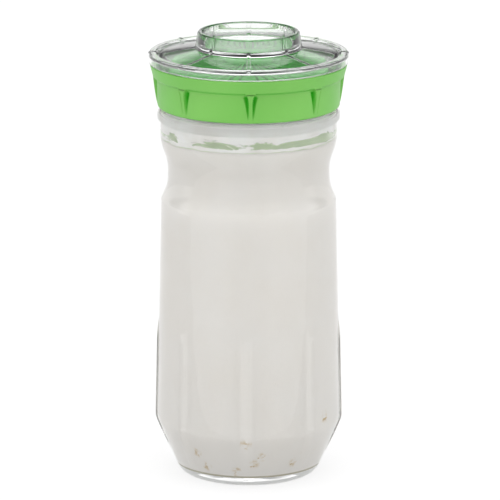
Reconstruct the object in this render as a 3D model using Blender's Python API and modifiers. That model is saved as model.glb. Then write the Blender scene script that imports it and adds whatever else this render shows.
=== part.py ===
"""Kefir fermentation jar: a ribbed glass jar of kefir, a green strainer lid screwed onto it, and a
clear cover screwed into that lid. Metres, +Z up, origin in the middle of the jar's foot."""

import math

import bmesh
import bpy
from mathutils import Matrix, Vector

MM = 0.001

# General
FACETS = 48  # flat sides round each turned piece
ARC_STEP = math.radians(90)  # largest turn between two points of a fillet
ARC_LENGTH = 6.5 * MM  # longest side of a fillet
FILLET_SHARE = 0.48  # the most of a side that the fillet at one of its ends may take
MERGE_DISTANCE = 0.01 * MM
SEAT_GAP = 0.3 * MM  # between pieces that touch on the real jar

# Glass jar, from the foot up
FOOT_CORNER_RADIUS = 33.3 * MM
FOOT_FILLET = 5.9 * MM
FOOT_RING_WIDTH = 8.9 * MM  # from the foot's corner, before its fillet, to the hollow under it
PUSH_UP = 1.6 * MM  # height of that hollow
CHAMFER_HEIGHT = 27.0 * MM
CHAMFER_FILLET = 9.0 * MM
BODY_LOW_RADIUS = 44.7 * MM
BODY_HEIGHT = 109.0 * MM
SHOULDER_RADIUS = 42.3 * MM
SHOULDER_FILLET = 1.5 * MM
SHOULDER_HEIGHT = 7.2 * MM
WAIST_RADIUS = 39.1 * MM
WAIST_FILLET = 30.0 * MM
WAIST_HEIGHT = 11.3 * MM
FLARE_HEIGHT = 9.5 * MM
FLARE_FILLET = 20.0 * MM
NECK_RADIUS = 42.5 * MM
NECK_HEIGHT = 11.5 * MM
BEAD_PROUD = 1.5 * MM
BEAD_HEIGHT = 4.5 * MM
BEAD_FILLET = 1.6 * MM
FINISH_RADIUS = 39.4 * MM
RIM_LAND = 2.5 * MM  # plain glass between the screw ridges and the rim
GLASS_WALL = 3.2 * MM
FOOT_THICKNESS = 5.0 * MM
MOUTH_SLOPE_HEIGHT = 6.0 * MM
RIM_FILLET = 1.2 * MM

# Ribs pressed into the lower part of the glass
RIB_COUNT = 8
RIB_TURN = math.radians(-1.5)  # how far the glass stopped from the lid's gussets
RIB_WIDTH = 5.6 * MM
RIB_DEPTH = 1.1 * MM  # half of the rib's thickness
RIB_PROUD = 1.1 * MM
RIB_SINK = 0.2 * MM  # how far the rib's ends lie under the surface
RIB_LOW = 10.0 * MM
RIB_ABOVE_CHAMFER = 50.0 * MM
RIB_FADE = 13.0 * MM
RIB_STEPS = 8

# Screw threads: four starts each, so both screws climb quickly
THREAD_STARTS = 4
THREAD_LEAD = 16.0 * MM
RIDGE_STEP = math.radians(10)
RIDGE_MARGIN = 0.3 * MM  # above and below the ridges
RIDGE_END = 0.6  # how thin a ridge is at its ends, as a share of its radius
JAR_RIDGE = 1.0 * MM  # radius of the round ridges
JAR_RIDGE_SPAN = math.radians(70)
JAR_RIDGE_OVERLAP = 0.4 * MM  # how far the ridges of the lid reach behind those of the glass
COVER_RIDGE = 0.8 * MM
COVER_RIDGE_SPAN = math.radians(30)
COVER_RIDGE_OVERLAP = 0.3 * MM

# Strainer lid
LID_BEAD_GAP = 1.6 * MM
LID_WALL = 2.8 * MM
LID_DRAFT = 0.5 * MM
LID_FOOT_FILLET = 1.2 * MM
PLATE_THICKNESS = 2.0 * MM
SOCKET_STEP = 3.0 * MM  # how much wider the cover's socket is than the hollow for the glass
BAND_WALL = 2.0 * MM
BAND_FLARE = 1.7 * MM
BAND_FILLET = 1.6 * MM
GUSSET_COUNT = 8
GUSSET_TOP_WIDTH = 2.6 * MM
GUSSET_FOOT_WIDTH = 0.9 * MM
GUSSET_FOOT_HEIGHT = 1.4 * MM  # above the lid's lower edge
SLOT_WIDTH = 1.0 * MM
SLOT_INNER_RADIUS = 14.0 * MM
SLOT_RIM = 2.2 * MM  # from the slots' outer ends to the mouth of the glass
SLOT_SECTORS = 8
SLOTS_PER_SECTOR = 5

# Clear cover
COVER_RIM_OVERHANG = 0.2 * MM
COVER_RIM_THICKNESS = 5.0 * MM
COVER_RIM_WIDTH = 4.4 * MM
COVER_RIM_STEP = 1.1 * MM
COVER_RIM_FILLET = 1.2 * MM
COVER_PANEL = 3.0 * MM  # thickness of the panel and of the well's floor
COVER_PANEL_RISE = 2.0 * MM  # from the rim's top to the knob's foot
SKIRT_WALL = 2.0 * MM
KNOB_HEIGHT = 10.1 * MM  # above the rim's top
KNOB_TOP_RADIUS = 24.2 * MM
KNOB_FLARE = 1.4 * MM
KNOB_FOOT_FILLET = 1.5 * MM
KNOB_WALL = 2.3 * MM
KNOB_LIP_FILLET = 0.8 * MM
WELL_DEPTH = 7.5 * MM
SPOKE_COUNT = 8
SPOKE_WIDTH = 2.2 * MM
SPOKE_PROUD = 0.6 * MM

# Gaskets
JAR_SEAL_THICKNESS = 1.5 * MM
COVER_SEAL_THICKNESS = 1.5 * MM
JAR_SEAL_LIP = 0.2 * MM  # how far the gasket stops short of the mouth
COVER_SEAL_LIP = 0.5 * MM  # how far the gasket reaches inside the skirt

# Contents
KEFIR_BELOW_RIM = 24.0 * MM
GRAIN_ROUNDNESS = 0.7  # height of a grain over its width
GRAIN_STEP = 20  # degrees between the levels at which a grain is fitted to the wall
# Each grain: its turn round the jar from the front in degrees, its height over the floor, its radius
GRAINS = (
    (-2, 19 * MM, 1.1 * MM),
    (-40, 12 * MM, 1.3 * MM),
    (-34, 5 * MM, 1.5 * MM),
    (-9, 4 * MM, 1.4 * MM),
    (4, 8 * MM, 1.7 * MM),
    (10, 12 * MM, 1.2 * MM),
    (36, 7 * MM, 1.7 * MM),
    (58, 27 * MM, 1.2 * MM),
    (110, 9 * MM, 1.6 * MM),
    (165, 5 * MM, 1.5 * MM),
    (215, 10 * MM, 1.4 * MM),
    (265, 6 * MM, 1.6 * MM),
)


def ridge_spacing(ridge, overlap):
    """How far apart two walls stand whose ridges reach behind each other by the overlap."""
    return 2 * ridge - overlap


def ridge_drop(ridge, overlap):
    """How far one wall's ridges lie under the other's, so that they touch but for the seat gap."""
    return math.sqrt((2 * ridge + SEAT_GAP) ** 2 - ridge_spacing(ridge, overlap) ** 2)


def climb(span):
    """How far a ridge climbs as it turns through its span."""
    return THREAD_LEAD * span / math.tau


def screw_height(ridge, overlap, span):
    """The height that both walls' ridges take together, with a margin above and below."""
    return 2 * RIDGE_MARGIN + 2 * ridge + ridge_drop(ridge, overlap) + climb(span)


# Heights that follow from the sizes above
SHOULDER = CHAMFER_HEIGHT + BODY_HEIGHT
WAIST_LOW = SHOULDER + SHOULDER_HEIGHT
WAIST_HIGH = WAIST_LOW + WAIST_HEIGHT
NECK_LOW = WAIST_HIGH + FLARE_HEIGHT
BEAD_LOW = NECK_LOW + NECK_HEIGHT
FINISH_LOW = BEAD_LOW + BEAD_HEIGHT
LID_LOW = FINISH_LOW + LID_BEAD_GAP
RIM = LID_LOW + screw_height(JAR_RIDGE, JAR_RIDGE_OVERLAP, JAR_RIDGE_SPAN) + RIM_LAND
KEFIR_LEVEL = RIM - KEFIR_BELOW_RIM
PLATE_LOW = RIM + SEAT_GAP + JAR_SEAL_THICKNESS + SEAT_GAP
PLATE_HIGH = PLATE_LOW + PLATE_THICKNESS
SKIRT_LOW = PLATE_HIGH + SEAT_GAP + COVER_SEAL_THICKNESS + SEAT_GAP
LID_HIGH = SKIRT_LOW + screw_height(COVER_RIDGE, COVER_RIDGE_OVERLAP, COVER_RIDGE_SPAN)
COVER_LOW = LID_HIGH + SEAT_GAP
COVER_RIM_HIGH = COVER_LOW + COVER_RIM_THICKNESS
PANEL_EDGE_HIGH = COVER_RIM_HIGH - COVER_RIM_STEP
KNOB_FOOT = COVER_RIM_HIGH + COVER_PANEL_RISE
KNOB_HIGH = COVER_RIM_HIGH + KNOB_HEIGHT
WELL_FLOOR = KNOB_HIGH - WELL_DEPTH

# Radii that follow from the sizes above
MOUTH_RADIUS = FINISH_RADIUS - GLASS_WALL
BEAD_RADIUS = NECK_RADIUS + BEAD_PROUD
LID_INNER_RADIUS = FINISH_RADIUS + ridge_spacing(JAR_RIDGE, JAR_RIDGE_OVERLAP)
LID_OUTER_RADIUS = LID_INNER_RADIUS + LID_WALL
SOCKET_RADIUS = LID_INNER_RADIUS + SOCKET_STEP
BAND_LOW_RADIUS = SOCKET_RADIUS + BAND_WALL
BAND_HIGH_RADIUS = BAND_LOW_RADIUS + BAND_FLARE
COVER_RIM_RADIUS = BAND_HIGH_RADIUS + COVER_RIM_OVERHANG
PANEL_EDGE_RADIUS = COVER_RIM_RADIUS - COVER_RIM_WIDTH
SKIRT_RADIUS = SOCKET_RADIUS - ridge_spacing(COVER_RIDGE, COVER_RIDGE_OVERLAP)
SKIRT_INNER_RADIUS = SKIRT_RADIUS - SKIRT_WALL
KNOB_FOOT_RADIUS = KNOB_TOP_RADIUS + KNOB_FLARE
WELL_RADIUS = KNOB_TOP_RADIUS - KNOB_WALL


def clear_scene():
    for obj in list(bpy.data.objects):
        bpy.data.objects.remove(obj)


def new_collection(name):
    collection = bpy.data.collections.new(name)
    bpy.context.scene.collection.children.link(collection)
    return collection


def make_material(name, colour, roughness, transmission=0.0):
    material = bpy.data.materials.new(name)
    material.use_nodes = True
    shader = material.node_tree.nodes["Principled BSDF"]
    shader.inputs["Base Color"].default_value = (*colour, 1.0)
    shader.inputs["Roughness"].default_value = roughness
    shader.inputs["Metallic"].default_value = 0.0
    shader.inputs["Transmission Weight"].default_value = transmission
    return material


def rounded(corners):
    """The points of a profile given as (radius, height, fillet) corners, with each fillet as an arc.
    A fillet is limited by the two sides that it joins."""
    points = []
    for index, (radius, height, fillet) in enumerate(corners):
        corner = Vector((radius, height))
        if fillet == 0:
            points.append(corner)
            continue
        before = Vector(corners[index - 1][:2]) - corner
        after = Vector(corners[(index + 1) % len(corners)][:2]) - corner
        half_angle = before.angle(after) / 2
        longest = FILLET_SHARE * min(before.length, after.length)
        reach = min(fillet / math.tan(half_angle), longest)
        arc_radius = reach * math.tan(half_angle)
        towards_centre = (before.normalized() + after.normalized()).normalized()
        centre = corner + towards_centre * arc_radius / math.sin(half_angle)
        start = corner + before.normalized() * reach - centre
        turn = math.pi - 2 * half_angle
        if before.cross(after) > 0:
            turn = -turn
        steps = max(math.ceil(abs(turn) / ARC_STEP), math.ceil(arc_radius * abs(turn) / ARC_LENGTH))
        for step in range(steps + 1):
            points.append(centre + Matrix.Rotation(turn * step / steps, 2) @ start)
    return points


def radius_at(points, height):
    """The radius of a profile that runs from top to bottom, at a height on its outer side."""
    for upper, lower in zip(points, points[1:]):
        if lower.y <= height <= upper.y and lower.y < upper.y:
            share = (height - lower.y) / (upper.y - lower.y)
            return lower.x + share * (upper.x - lower.x)
    raise ValueError("no wall at this height")


def turned(name, points, material, closed=False):
    """A piece turned from a profile that runs down its outer side. An open profile ends on the axis."""
    mesh = bpy.data.meshes.new(name)
    edges = [(index, index + 1) for index in range(len(points) - 1)]
    if closed:
        edges.append((len(points) - 1, 0))
    mesh.from_pydata([(point.x, 0.0, point.y) for point in points], edges, [])
    mesh.materials.append(material)
    obj = bpy.data.objects.new(name, mesh)
    pieces.objects.link(obj)
    screw = obj.modifiers.new("turn", "SCREW")
    screw.steps = FACETS
    screw.render_steps = FACETS
    screw.use_merge_vertices = True
    screw.merge_threshold = MERGE_DISTANCE
    screw.use_smooth_shade = True
    return obj


def link_cutter(obj):
    """Puts a helper shape with the cutters, out of sight."""
    cutters.objects.link(obj)
    obj.hide_render = True
    obj.display_type = "WIRE"


def helper_from(name, build):
    """A helper mesh made by build, a function that fills a bmesh."""
    shape = bmesh.new()
    build(shape)
    bmesh.ops.recalc_face_normals(shape, faces=shape.faces)
    mesh = bpy.data.meshes.new(name)
    shape.to_mesh(mesh)
    shape.free()
    obj = bpy.data.objects.new(name, mesh)
    link_cutter(obj)
    return obj


def combine(piece, helper, operation):
    boolean = piece.modifiers.new(helper.name, "BOOLEAN")
    boolean.operation = operation
    boolean.object = helper


def tubes(name, paths, radius):
    """One helper mesh of round tubes, each along a list of (point, share of the radius)."""
    data = bpy.data.curves.new(name + "_paths", "CURVE")
    data.dimensions = "3D"
    data.bevel_depth = radius
    data.bevel_resolution = 1
    data.use_fill_caps = True
    for path in paths:
        spline = data.splines.new("POLY")
        spline.points.add(len(path) - 1)
        for point, (place, share) in zip(spline.points, path):
            point.co = (*place, 1.0)
            point.radius = share
    guide = bpy.data.objects.new(name + "_paths", data)
    cutters.objects.link(guide)
    bpy.context.view_layer.update()
    graph = bpy.context.evaluated_depsgraph_get()
    mesh = bpy.data.meshes.new_from_object(guide.evaluated_get(graph))
    obj = bpy.data.objects.new(name, mesh)
    obj.matrix_world = guide.matrix_world
    bpy.data.objects.remove(guide)
    shape = bmesh.new()
    shape.from_mesh(mesh)
    bmesh.ops.remove_doubles(shape, verts=shape.verts, dist=MERGE_DISTANCE)
    bmesh.ops.recalc_face_normals(shape, faces=shape.faces)
    shape.to_mesh(mesh)
    shape.free()
    link_cutter(obj)
    return obj


def thread_ridges(name, radius, low_height, span, ridge):
    """The ridges of a right-hand screw thread: each climbs as it turns, and thins at both ends."""
    steps = round(span / RIDGE_STEP)
    paths = []
    for start in range(THREAD_STARTS):
        path = []
        for step in range(steps + 1):
            turn = span * step / steps
            angle = math.tau * start / THREAD_STARTS + turn
            height = low_height + climb(turn)
            share = RIDGE_END if step in (0, steps) else 1.0
            place = (radius * math.cos(angle), radius * math.sin(angle), height)
            path.append((place, share))
        paths.append(path)
    return tubes(name, paths, ridge)


def add_wedge(shape, angle, inner, outer):
    """Adds a radial block. Each end is (radius, low height, high height, low width, high width)."""
    made = bmesh.ops.create_cube(shape, size=2.0)["verts"]
    for vert in made:
        radius, low, high, low_width, high_width = outer if vert.co.x > 0 else inner
        width = high_width if vert.co.z > 0 else low_width
        height = high if vert.co.z > 0 else low
        vert.co = (radius, vert.co.y * width / 2, height)
    bmesh.ops.rotate(shape, verts=made, matrix=Matrix.Rotation(angle, 3, "Z"))


def outer_wall():
    """The corners of the glass from under the bead down to the chamfer over the foot."""
    return [
        (NECK_RADIUS, NECK_LOW, FLARE_FILLET),
        (WAIST_RADIUS, WAIST_HIGH, FLARE_FILLET),
        (WAIST_RADIUS, WAIST_LOW, WAIST_FILLET),
        (SHOULDER_RADIUS, SHOULDER, SHOULDER_FILLET),
        (BODY_LOW_RADIUS, CHAMFER_HEIGHT, CHAMFER_FILLET),
    ]


def inner_wall(gap):
    """The corners of the space in the glass from the rim down to the floor, made smaller by a gap."""
    wall = GLASS_WALL + gap
    floor = FOOT_THICKNESS + gap
    slope = (BODY_LOW_RADIUS - FOOT_CORNER_RADIUS) / CHAMFER_HEIGHT
    return [
        (MOUTH_RADIUS - gap, FINISH_LOW, RIM_FILLET),
        (NECK_RADIUS - wall, FINISH_LOW - MOUTH_SLOPE_HEIGHT, RIM_FILLET),
        *[(radius - wall, height, fillet) for radius, height, fillet in outer_wall()],
        (FOOT_CORNER_RADIUS + slope * floor - wall, floor, FOOT_FILLET),
        (0.0, floor, 0),
    ]


def make_glass_jar(material):
    hollow_radius = FOOT_CORNER_RADIUS - FOOT_RING_WIDTH
    inside = [(MOUTH_RADIUS, RIM, RIM_FILLET), *inner_wall(0.0)]
    outside = [
        (FINISH_RADIUS, RIM, RIM_FILLET),
        (FINISH_RADIUS, FINISH_LOW, BEAD_FILLET / 2),
        (BEAD_RADIUS, FINISH_LOW, BEAD_FILLET),
        (BEAD_RADIUS, BEAD_LOW, BEAD_FILLET),
        (NECK_RADIUS, BEAD_LOW, BEAD_FILLET / 2),
        *outer_wall(),
        (FOOT_CORNER_RADIUS, 0.0, FOOT_FILLET),
        (hollow_radius, 0.0, 0),
        (hollow_radius - PUSH_UP, PUSH_UP, 0),
        (0.0, PUSH_UP, 0),
    ]
    jar = turned("glass_jar", rounded(inside[::-1] + outside), material)
    combine(jar, jar_ribs(), "UNION")
    low = LID_LOW + RIDGE_MARGIN + JAR_RIDGE + ridge_drop(JAR_RIDGE, JAR_RIDGE_OVERLAP)
    ridges = thread_ridges("jar_ridges", FINISH_RADIUS, low, JAR_RIDGE_SPAN, JAR_RIDGE)
    combine(jar, ridges, "UNION")


def jar_ribs():
    """The upright ribs. Each rises out of the wall and sinks into it again at its ends."""
    wall = rounded([*outer_wall(), (FOOT_CORNER_RADIUS, 0.0, 0)])
    high = CHAMFER_HEIGHT + RIB_ABOVE_CHAMFER
    path = []
    for step in range(RIB_STEPS + 1):
        height = RIB_LOW + (high - RIB_LOW) * step / RIB_STEPS
        from_end = min(height - RIB_LOW, high - height)
        rise = math.sin(math.pi / 2 * min(1.0, from_end / RIB_FADE))
        proud = RIB_PROUD * rise - RIB_SINK * (1 - rise)
        path.append(((radius_at(wall, height) + proud - RIB_DEPTH, 0.0, height), 1.0))
    ribs = tubes("jar_ribs", [path], RIB_DEPTH)
    shape = bmesh.new()
    shape.from_mesh(ribs.data)
    widen = Matrix.Scale(RIB_WIDTH / (2 * RIB_DEPTH), 3, (0.0, 1.0, 0.0))
    bmesh.ops.transform(shape, matrix=widen.to_4x4(), verts=shape.verts)
    first = list(shape.verts) + list(shape.edges) + list(shape.faces)
    for index in range(1, RIB_COUNT):
        copy = bmesh.ops.duplicate(shape, geom=first)["geom"]
        copied = [item for item in copy if isinstance(item, bmesh.types.BMVert)]
        turn = Matrix.Rotation(math.tau * index / RIB_COUNT, 3, "Z")
        bmesh.ops.rotate(shape, verts=copied, matrix=turn)
    bmesh.ops.rotate(shape, verts=shape.verts, matrix=Matrix.Rotation(RIB_TURN, 3, "Z"))
    shape.to_mesh(ribs.data)
    shape.free()
    return ribs


def kefir_wall():
    """The profile of the kefir: the inside of the glass less the seat gap, up to the kefir's level."""
    full = rounded([(MOUTH_RADIUS - SEAT_GAP, RIM, 0), *inner_wall(SEAT_GAP)])
    edge = Vector((radius_at(full, KEFIR_LEVEL), KEFIR_LEVEL))
    return [edge, *[point for point in full if point.y < KEFIR_LEVEL]]


def make_kefir(material):
    profile = [Vector((0.0, KEFIR_LEVEL)), *kefir_wall()]
    kefir = turned("kefir", profile, material)
    combine(kefir, helper_from("grain_notches", add_notches), "DIFFERENCE")


def grain_place(degrees, rise, size):
    """The middle of a grain that lies against the inside of the kefir's wall, wherever that curves."""
    wall = kefir_wall()
    height = FOOT_THICKNESS + rise
    reaches = []
    for lean in range(-90 + GRAIN_STEP // 2, 90, GRAIN_STEP):
        level = height + size * GRAIN_ROUNDNESS * math.sin(math.radians(lean))
        reaches.append(radius_at(wall, level) - size * math.cos(math.radians(lean)))
    angle = math.radians(degrees - 90)
    return Vector((min(reaches) * math.cos(angle), min(reaches) * math.sin(angle), height))


def add_lump(shape, size, height, place):
    """Adds one flattened lump to a bmesh."""
    lump = bmesh.ops.create_icosphere(shape, subdivisions=2, radius=size)["verts"]
    flatten = Matrix.Scale(height / size, 3, (0.0, 0.0, 1.0))
    bmesh.ops.transform(shape, matrix=flatten.to_4x4(), verts=lump)
    bmesh.ops.translate(shape, verts=lump, vec=place)


def add_notches(shape):
    """Adds the hollows in the kefir that hold the grains, each the seat gap larger than its grain."""
    for degrees, rise, size in GRAINS:
        place = grain_place(degrees, rise, size)
        add_lump(shape, size + SEAT_GAP, size * GRAIN_ROUNDNESS + SEAT_GAP, place)


def make_grains(material):
    for number, (degrees, rise, size) in enumerate(GRAINS, start=1):
        name = f"kefir_grain_{number:02d}"
        mesh = bpy.data.meshes.new(name)
        shape = bmesh.new()
        add_lump(shape, size, size * GRAIN_ROUNDNESS, Vector())
        shape.to_mesh(mesh)
        shape.free()
        mesh.shade_smooth()
        mesh.materials.append(material)
        grain = bpy.data.objects.new(name, mesh)
        grain.location = grain_place(degrees, rise, size)
        pieces.objects.link(grain)


def make_jar_seal(material):
    low = RIM + SEAT_GAP
    high = low + JAR_SEAL_THICKNESS
    outer = LID_INNER_RADIUS - SEAT_GAP
    inner = MOUTH_RADIUS + JAR_SEAL_LIP
    make_gasket("jar_seal", inner, outer, low, high, material)


def make_cover_seal(material):
    low = PLATE_HIGH + SEAT_GAP
    high = low + COVER_SEAL_THICKNESS
    inner = SKIRT_INNER_RADIUS - COVER_SEAL_LIP
    make_gasket("cover_seal", inner, SKIRT_RADIUS, low, high, material)


def make_gasket(name, inner, outer, low, high, material):
    corners = [(outer, high, 0), (outer, low, 0), (inner, low, 0), (inner, high, 0)]
    turned(name, rounded(corners), material, closed=True)


def make_strainer_lid(material):
    corners = [
        (0.0, PLATE_HIGH, 0),
        (SOCKET_RADIUS, PLATE_HIGH, LID_FOOT_FILLET / 2),
        (SOCKET_RADIUS, LID_HIGH, LID_FOOT_FILLET / 4),
        (BAND_HIGH_RADIUS, LID_HIGH, LID_FOOT_FILLET / 2),
        (BAND_LOW_RADIUS, PLATE_HIGH, BAND_FILLET),
        (LID_OUTER_RADIUS + LID_DRAFT, PLATE_LOW, BAND_FILLET),
        (LID_OUTER_RADIUS, LID_LOW, LID_FOOT_FILLET),
        (LID_INNER_RADIUS, LID_LOW, LID_FOOT_FILLET / 4),
        (LID_INNER_RADIUS, PLATE_LOW, 0),
        (0.0, PLATE_LOW, 0),
    ]
    lid = turned("strainer_lid", rounded(corners), material)
    combine(lid, helper_from("lid_gussets", add_gussets), "UNION")
    low = LID_LOW + RIDGE_MARGIN + JAR_RIDGE
    ridges = thread_ridges("lid_lower_ridges", LID_INNER_RADIUS, low, JAR_RIDGE_SPAN, JAR_RIDGE)
    combine(lid, ridges, "UNION")
    low = SKIRT_LOW + RIDGE_MARGIN + COVER_RIDGE + ridge_drop(COVER_RIDGE, COVER_RIDGE_OVERLAP)
    ridges = thread_ridges("lid_upper_ridges", SOCKET_RADIUS, low, COVER_RIDGE_SPAN, COVER_RIDGE)
    combine(lid, ridges, "UNION")
    combine(lid, helper_from("strainer_slots", add_slots), "DIFFERENCE")


def add_gussets(shape):
    """Adds the gussets that run from the band's underside down the lid's wall."""
    foot = LID_LOW + GUSSET_FOOT_HEIGHT
    buried = LID_OUTER_RADIUS - LID_WALL / 3
    top = PLATE_HIGH + BAND_WALL / 2
    for index in range(GUSSET_COUNT):
        made = bmesh.ops.create_cube(shape, size=2.0)["verts"]
        for vert in made:
            at_top = vert.co.z > 0
            width = GUSSET_TOP_WIDTH if at_top else GUSSET_FOOT_WIDTH
            outer = BAND_LOW_RADIUS if at_top else LID_OUTER_RADIUS
            vert.co = (outer if vert.co.x > 0 else buried, vert.co.y * width / 2, top if at_top else foot)
        turn = Matrix.Rotation(math.tau * index / GUSSET_COUNT, 3, "Z")
        bmesh.ops.rotate(shape, verts=made, matrix=turn)


def add_slots(shape):
    """Adds the radial slots of the strainer, in sectors with a plain spoke between them."""
    places = SLOT_SECTORS * (SLOTS_PER_SECTOR + 1)
    low = PLATE_LOW - PLATE_THICKNESS
    high = PLATE_HIGH + PLATE_THICKNESS
    inner = (SLOT_INNER_RADIUS, low, high, SLOT_WIDTH, SLOT_WIDTH)
    outer = (MOUTH_RADIUS - SLOT_RIM, low, high, SLOT_WIDTH, SLOT_WIDTH)
    for place in range(places):
        if place % (SLOTS_PER_SECTOR + 1):
            add_wedge(shape, math.tau * place / places, inner, outer)


def make_clear_cover(material):
    panel_under_edge = PANEL_EDGE_HIGH - COVER_PANEL
    panel_under_knob = KNOB_FOOT - COVER_PANEL
    corners = [
        (0.0, WELL_FLOOR, 0),
        (WELL_RADIUS, WELL_FLOOR, KNOB_FOOT_FILLET),
        (WELL_RADIUS, KNOB_HIGH, KNOB_LIP_FILLET),
        (KNOB_TOP_RADIUS, KNOB_HIGH, KNOB_LIP_FILLET),
        (KNOB_FOOT_RADIUS, KNOB_FOOT, KNOB_FOOT_FILLET),
        (PANEL_EDGE_RADIUS, PANEL_EDGE_HIGH, COVER_RIM_STEP / 2),
        (PANEL_EDGE_RADIUS + COVER_RIM_STEP, COVER_RIM_HIGH, COVER_RIM_STEP / 2),
        (COVER_RIM_RADIUS, COVER_RIM_HIGH, COVER_RIM_FILLET),
        (COVER_RIM_RADIUS, COVER_LOW, COVER_RIM_FILLET / 2),
        (SKIRT_RADIUS, COVER_LOW, 0),
        (SKIRT_RADIUS, SKIRT_LOW, 0),
        (SKIRT_INNER_RADIUS, SKIRT_LOW, 0),
        (SKIRT_INNER_RADIUS, panel_under_edge, COVER_RIM_FILLET),
        (KNOB_FOOT_RADIUS, panel_under_knob, 0),
        (WELL_RADIUS, WELL_FLOOR - COVER_PANEL, 0),
        (0.0, WELL_FLOOR - COVER_PANEL, 0),
    ]
    cover = turned("clear_cover", rounded(corners), material)
    combine(cover, helper_from("cover_spokes", add_spokes), "UNION")
    low = SKIRT_LOW + RIDGE_MARGIN + COVER_RIDGE
    ridges = thread_ridges("cover_ridges", SKIRT_RADIUS, low, COVER_RIDGE_SPAN, COVER_RIDGE)
    combine(cover, ridges, "UNION")


def add_spokes(shape):
    """Adds the spokes that run over the panel, from inside the knob's wall to the rim."""
    buried = COVER_PANEL / 2
    inner_high = KNOB_FOOT + SPOKE_PROUD
    outer_high = COVER_RIM_HIGH + SPOKE_PROUD
    inner = (KNOB_TOP_RADIUS - KNOB_WALL / 2, inner_high - buried, inner_high, SPOKE_WIDTH, SPOKE_WIDTH)
    outer_radius = COVER_RIM_RADIUS - COVER_RIM_FILLET
    outer = (outer_radius, outer_high - buried, outer_high, SPOKE_WIDTH, SPOKE_WIDTH)
    for index in range(SPOKE_COUNT):
        add_wedge(shape, math.tau * index / SPOKE_COUNT, inner, outer)


clear_scene()
pieces = new_collection("kefir_jar")
cutters = new_collection("kefir_jar_cutters")

make_glass_jar(make_material("glass", (0.94, 0.96, 0.95), 0.02, transmission=1.0))
make_kefir(make_material("kefir", (0.84, 0.83, 0.80), 0.45))
make_grains(make_material("grain", (0.72, 0.60, 0.38), 0.6))
make_jar_seal(make_material("jar_silicone", (0.86, 0.87, 0.86), 0.5))
make_strainer_lid(make_material("green_plastic", (0.18, 0.52, 0.12), 0.3))
make_cover_seal(make_material("cover_silicone", (0.86, 0.87, 0.86), 0.5))
make_clear_cover(make_material("clear_plastic", (0.97, 0.98, 0.98), 0.05, transmission=1.0))
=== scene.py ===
"""Looks of a kefir fermentation jar: pressed glass, green strainer lid, clear cover and the kefir in it.

The file is laid out as an add-on: property groups hold the sizes and finishes, one operator makes each
piece, and main() calls them in order round the packed frame. Metres, +Z up; the front faces -Y.
"""

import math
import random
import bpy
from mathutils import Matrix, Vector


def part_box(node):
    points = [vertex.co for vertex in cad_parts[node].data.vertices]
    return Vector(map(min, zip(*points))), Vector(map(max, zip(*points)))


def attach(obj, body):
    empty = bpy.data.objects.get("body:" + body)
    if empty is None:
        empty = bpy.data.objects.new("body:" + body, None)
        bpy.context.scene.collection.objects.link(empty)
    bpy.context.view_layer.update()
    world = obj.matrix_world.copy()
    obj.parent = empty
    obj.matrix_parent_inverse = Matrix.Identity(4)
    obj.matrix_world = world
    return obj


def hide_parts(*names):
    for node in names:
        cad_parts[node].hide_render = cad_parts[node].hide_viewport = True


bl_info = {
    "name": "Kefir jar",
    "version": (1, 0, 0),
    "blender": (4, 5, 0),
    "location": "View3D > Sidebar > Kefir Jar",
    "description": "Makes the glass, lid, cover, seals and filling of a kefir fermentation jar",
    "category": "Add Mesh",
}

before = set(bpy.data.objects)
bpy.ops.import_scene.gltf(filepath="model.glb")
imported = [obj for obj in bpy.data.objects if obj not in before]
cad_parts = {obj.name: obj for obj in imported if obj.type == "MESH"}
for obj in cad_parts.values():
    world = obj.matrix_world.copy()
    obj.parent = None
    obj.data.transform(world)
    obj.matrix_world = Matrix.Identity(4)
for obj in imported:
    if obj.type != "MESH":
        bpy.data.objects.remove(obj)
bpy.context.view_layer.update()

import bmesh
import bpy
import numpy as np
from bpy.props import FloatProperty, FloatVectorProperty, IntProperty, PointerProperty
from mathutils import Matrix, Vector, noise

MM = 0.001

# Heights and radii that the packed frame gives
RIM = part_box("glass_jar")[1].z
KEFIR_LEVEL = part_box("kefir")[1].z
JAR_SEAL_LOW, JAR_SEAL_HIGH = (corner.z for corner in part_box("jar_seal"))
COVER_SEAL_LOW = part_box("cover_seal")[0].z
LID_LOW, LID_HIGH = (corner.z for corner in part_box("strainer_lid"))
SKIRT_LOW, KNOB_HIGH = (corner.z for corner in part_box("clear_cover"))
COVER_RIM_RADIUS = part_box("clear_cover")[1].x
BAND_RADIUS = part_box("strainer_lid")[1].x
SEAT_GAP = JAR_SEAL_LOW - RIM
PLATE_LOW = JAR_SEAL_HIGH + SEAT_GAP
PLATE_HIGH = COVER_SEAL_LOW - SEAT_GAP
PLATE = PLATE_HIGH - PLATE_LOW
COVER_LOW = LID_HIGH + SEAT_GAP

# How finely the turned pieces are drawn
ARC_STEP = math.radians(10)
RUN_STEP = 2.5 * MM
THREAD_STEP = 0.3 * MM
FILLING_STEP = 0.5 * MM
TOP_RINGS = 48
SLOT_END_STEPS = 6

# The most of a profile's side that one fillet may take up
FILLET_SHARE = 0.48

# How near a point lies to a straight wall, or how far inside a leaning one, when it counts as part of it
NEAR = 0.01 * MM
BESIDE = 0.1 * MM
WELL_INSIDE = 0.5 * MM

# How far outward, upward or inward a surface looks, of 1, when it counts as a straight wall, an outer side,
# a leaning side or an inner side
STRAIGHT = 0.99
OUTER = 0.5
LEANING = 0.3
INNER = -0.2

# Edges sharper than this stay sharp where the slots are cut
SHARP = math.radians(40)

# Power by which a rib's section is flatter than a round one
RIB_FLATNESS = 4

# Powers by which a gusset widens late and leans out early on its way up; how its grooves begin
GUSSET_WIDENING = 7
GUSSET_LEAN = 0.7
GROOVE_DEEPENING = 1.5
GROOVE_START = 0.1 * MM

# Name of the value that marks a piece's grooves, where its material paints shade, and its stains or frosted
# places, for its material to read
MARK = "mark"

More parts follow.
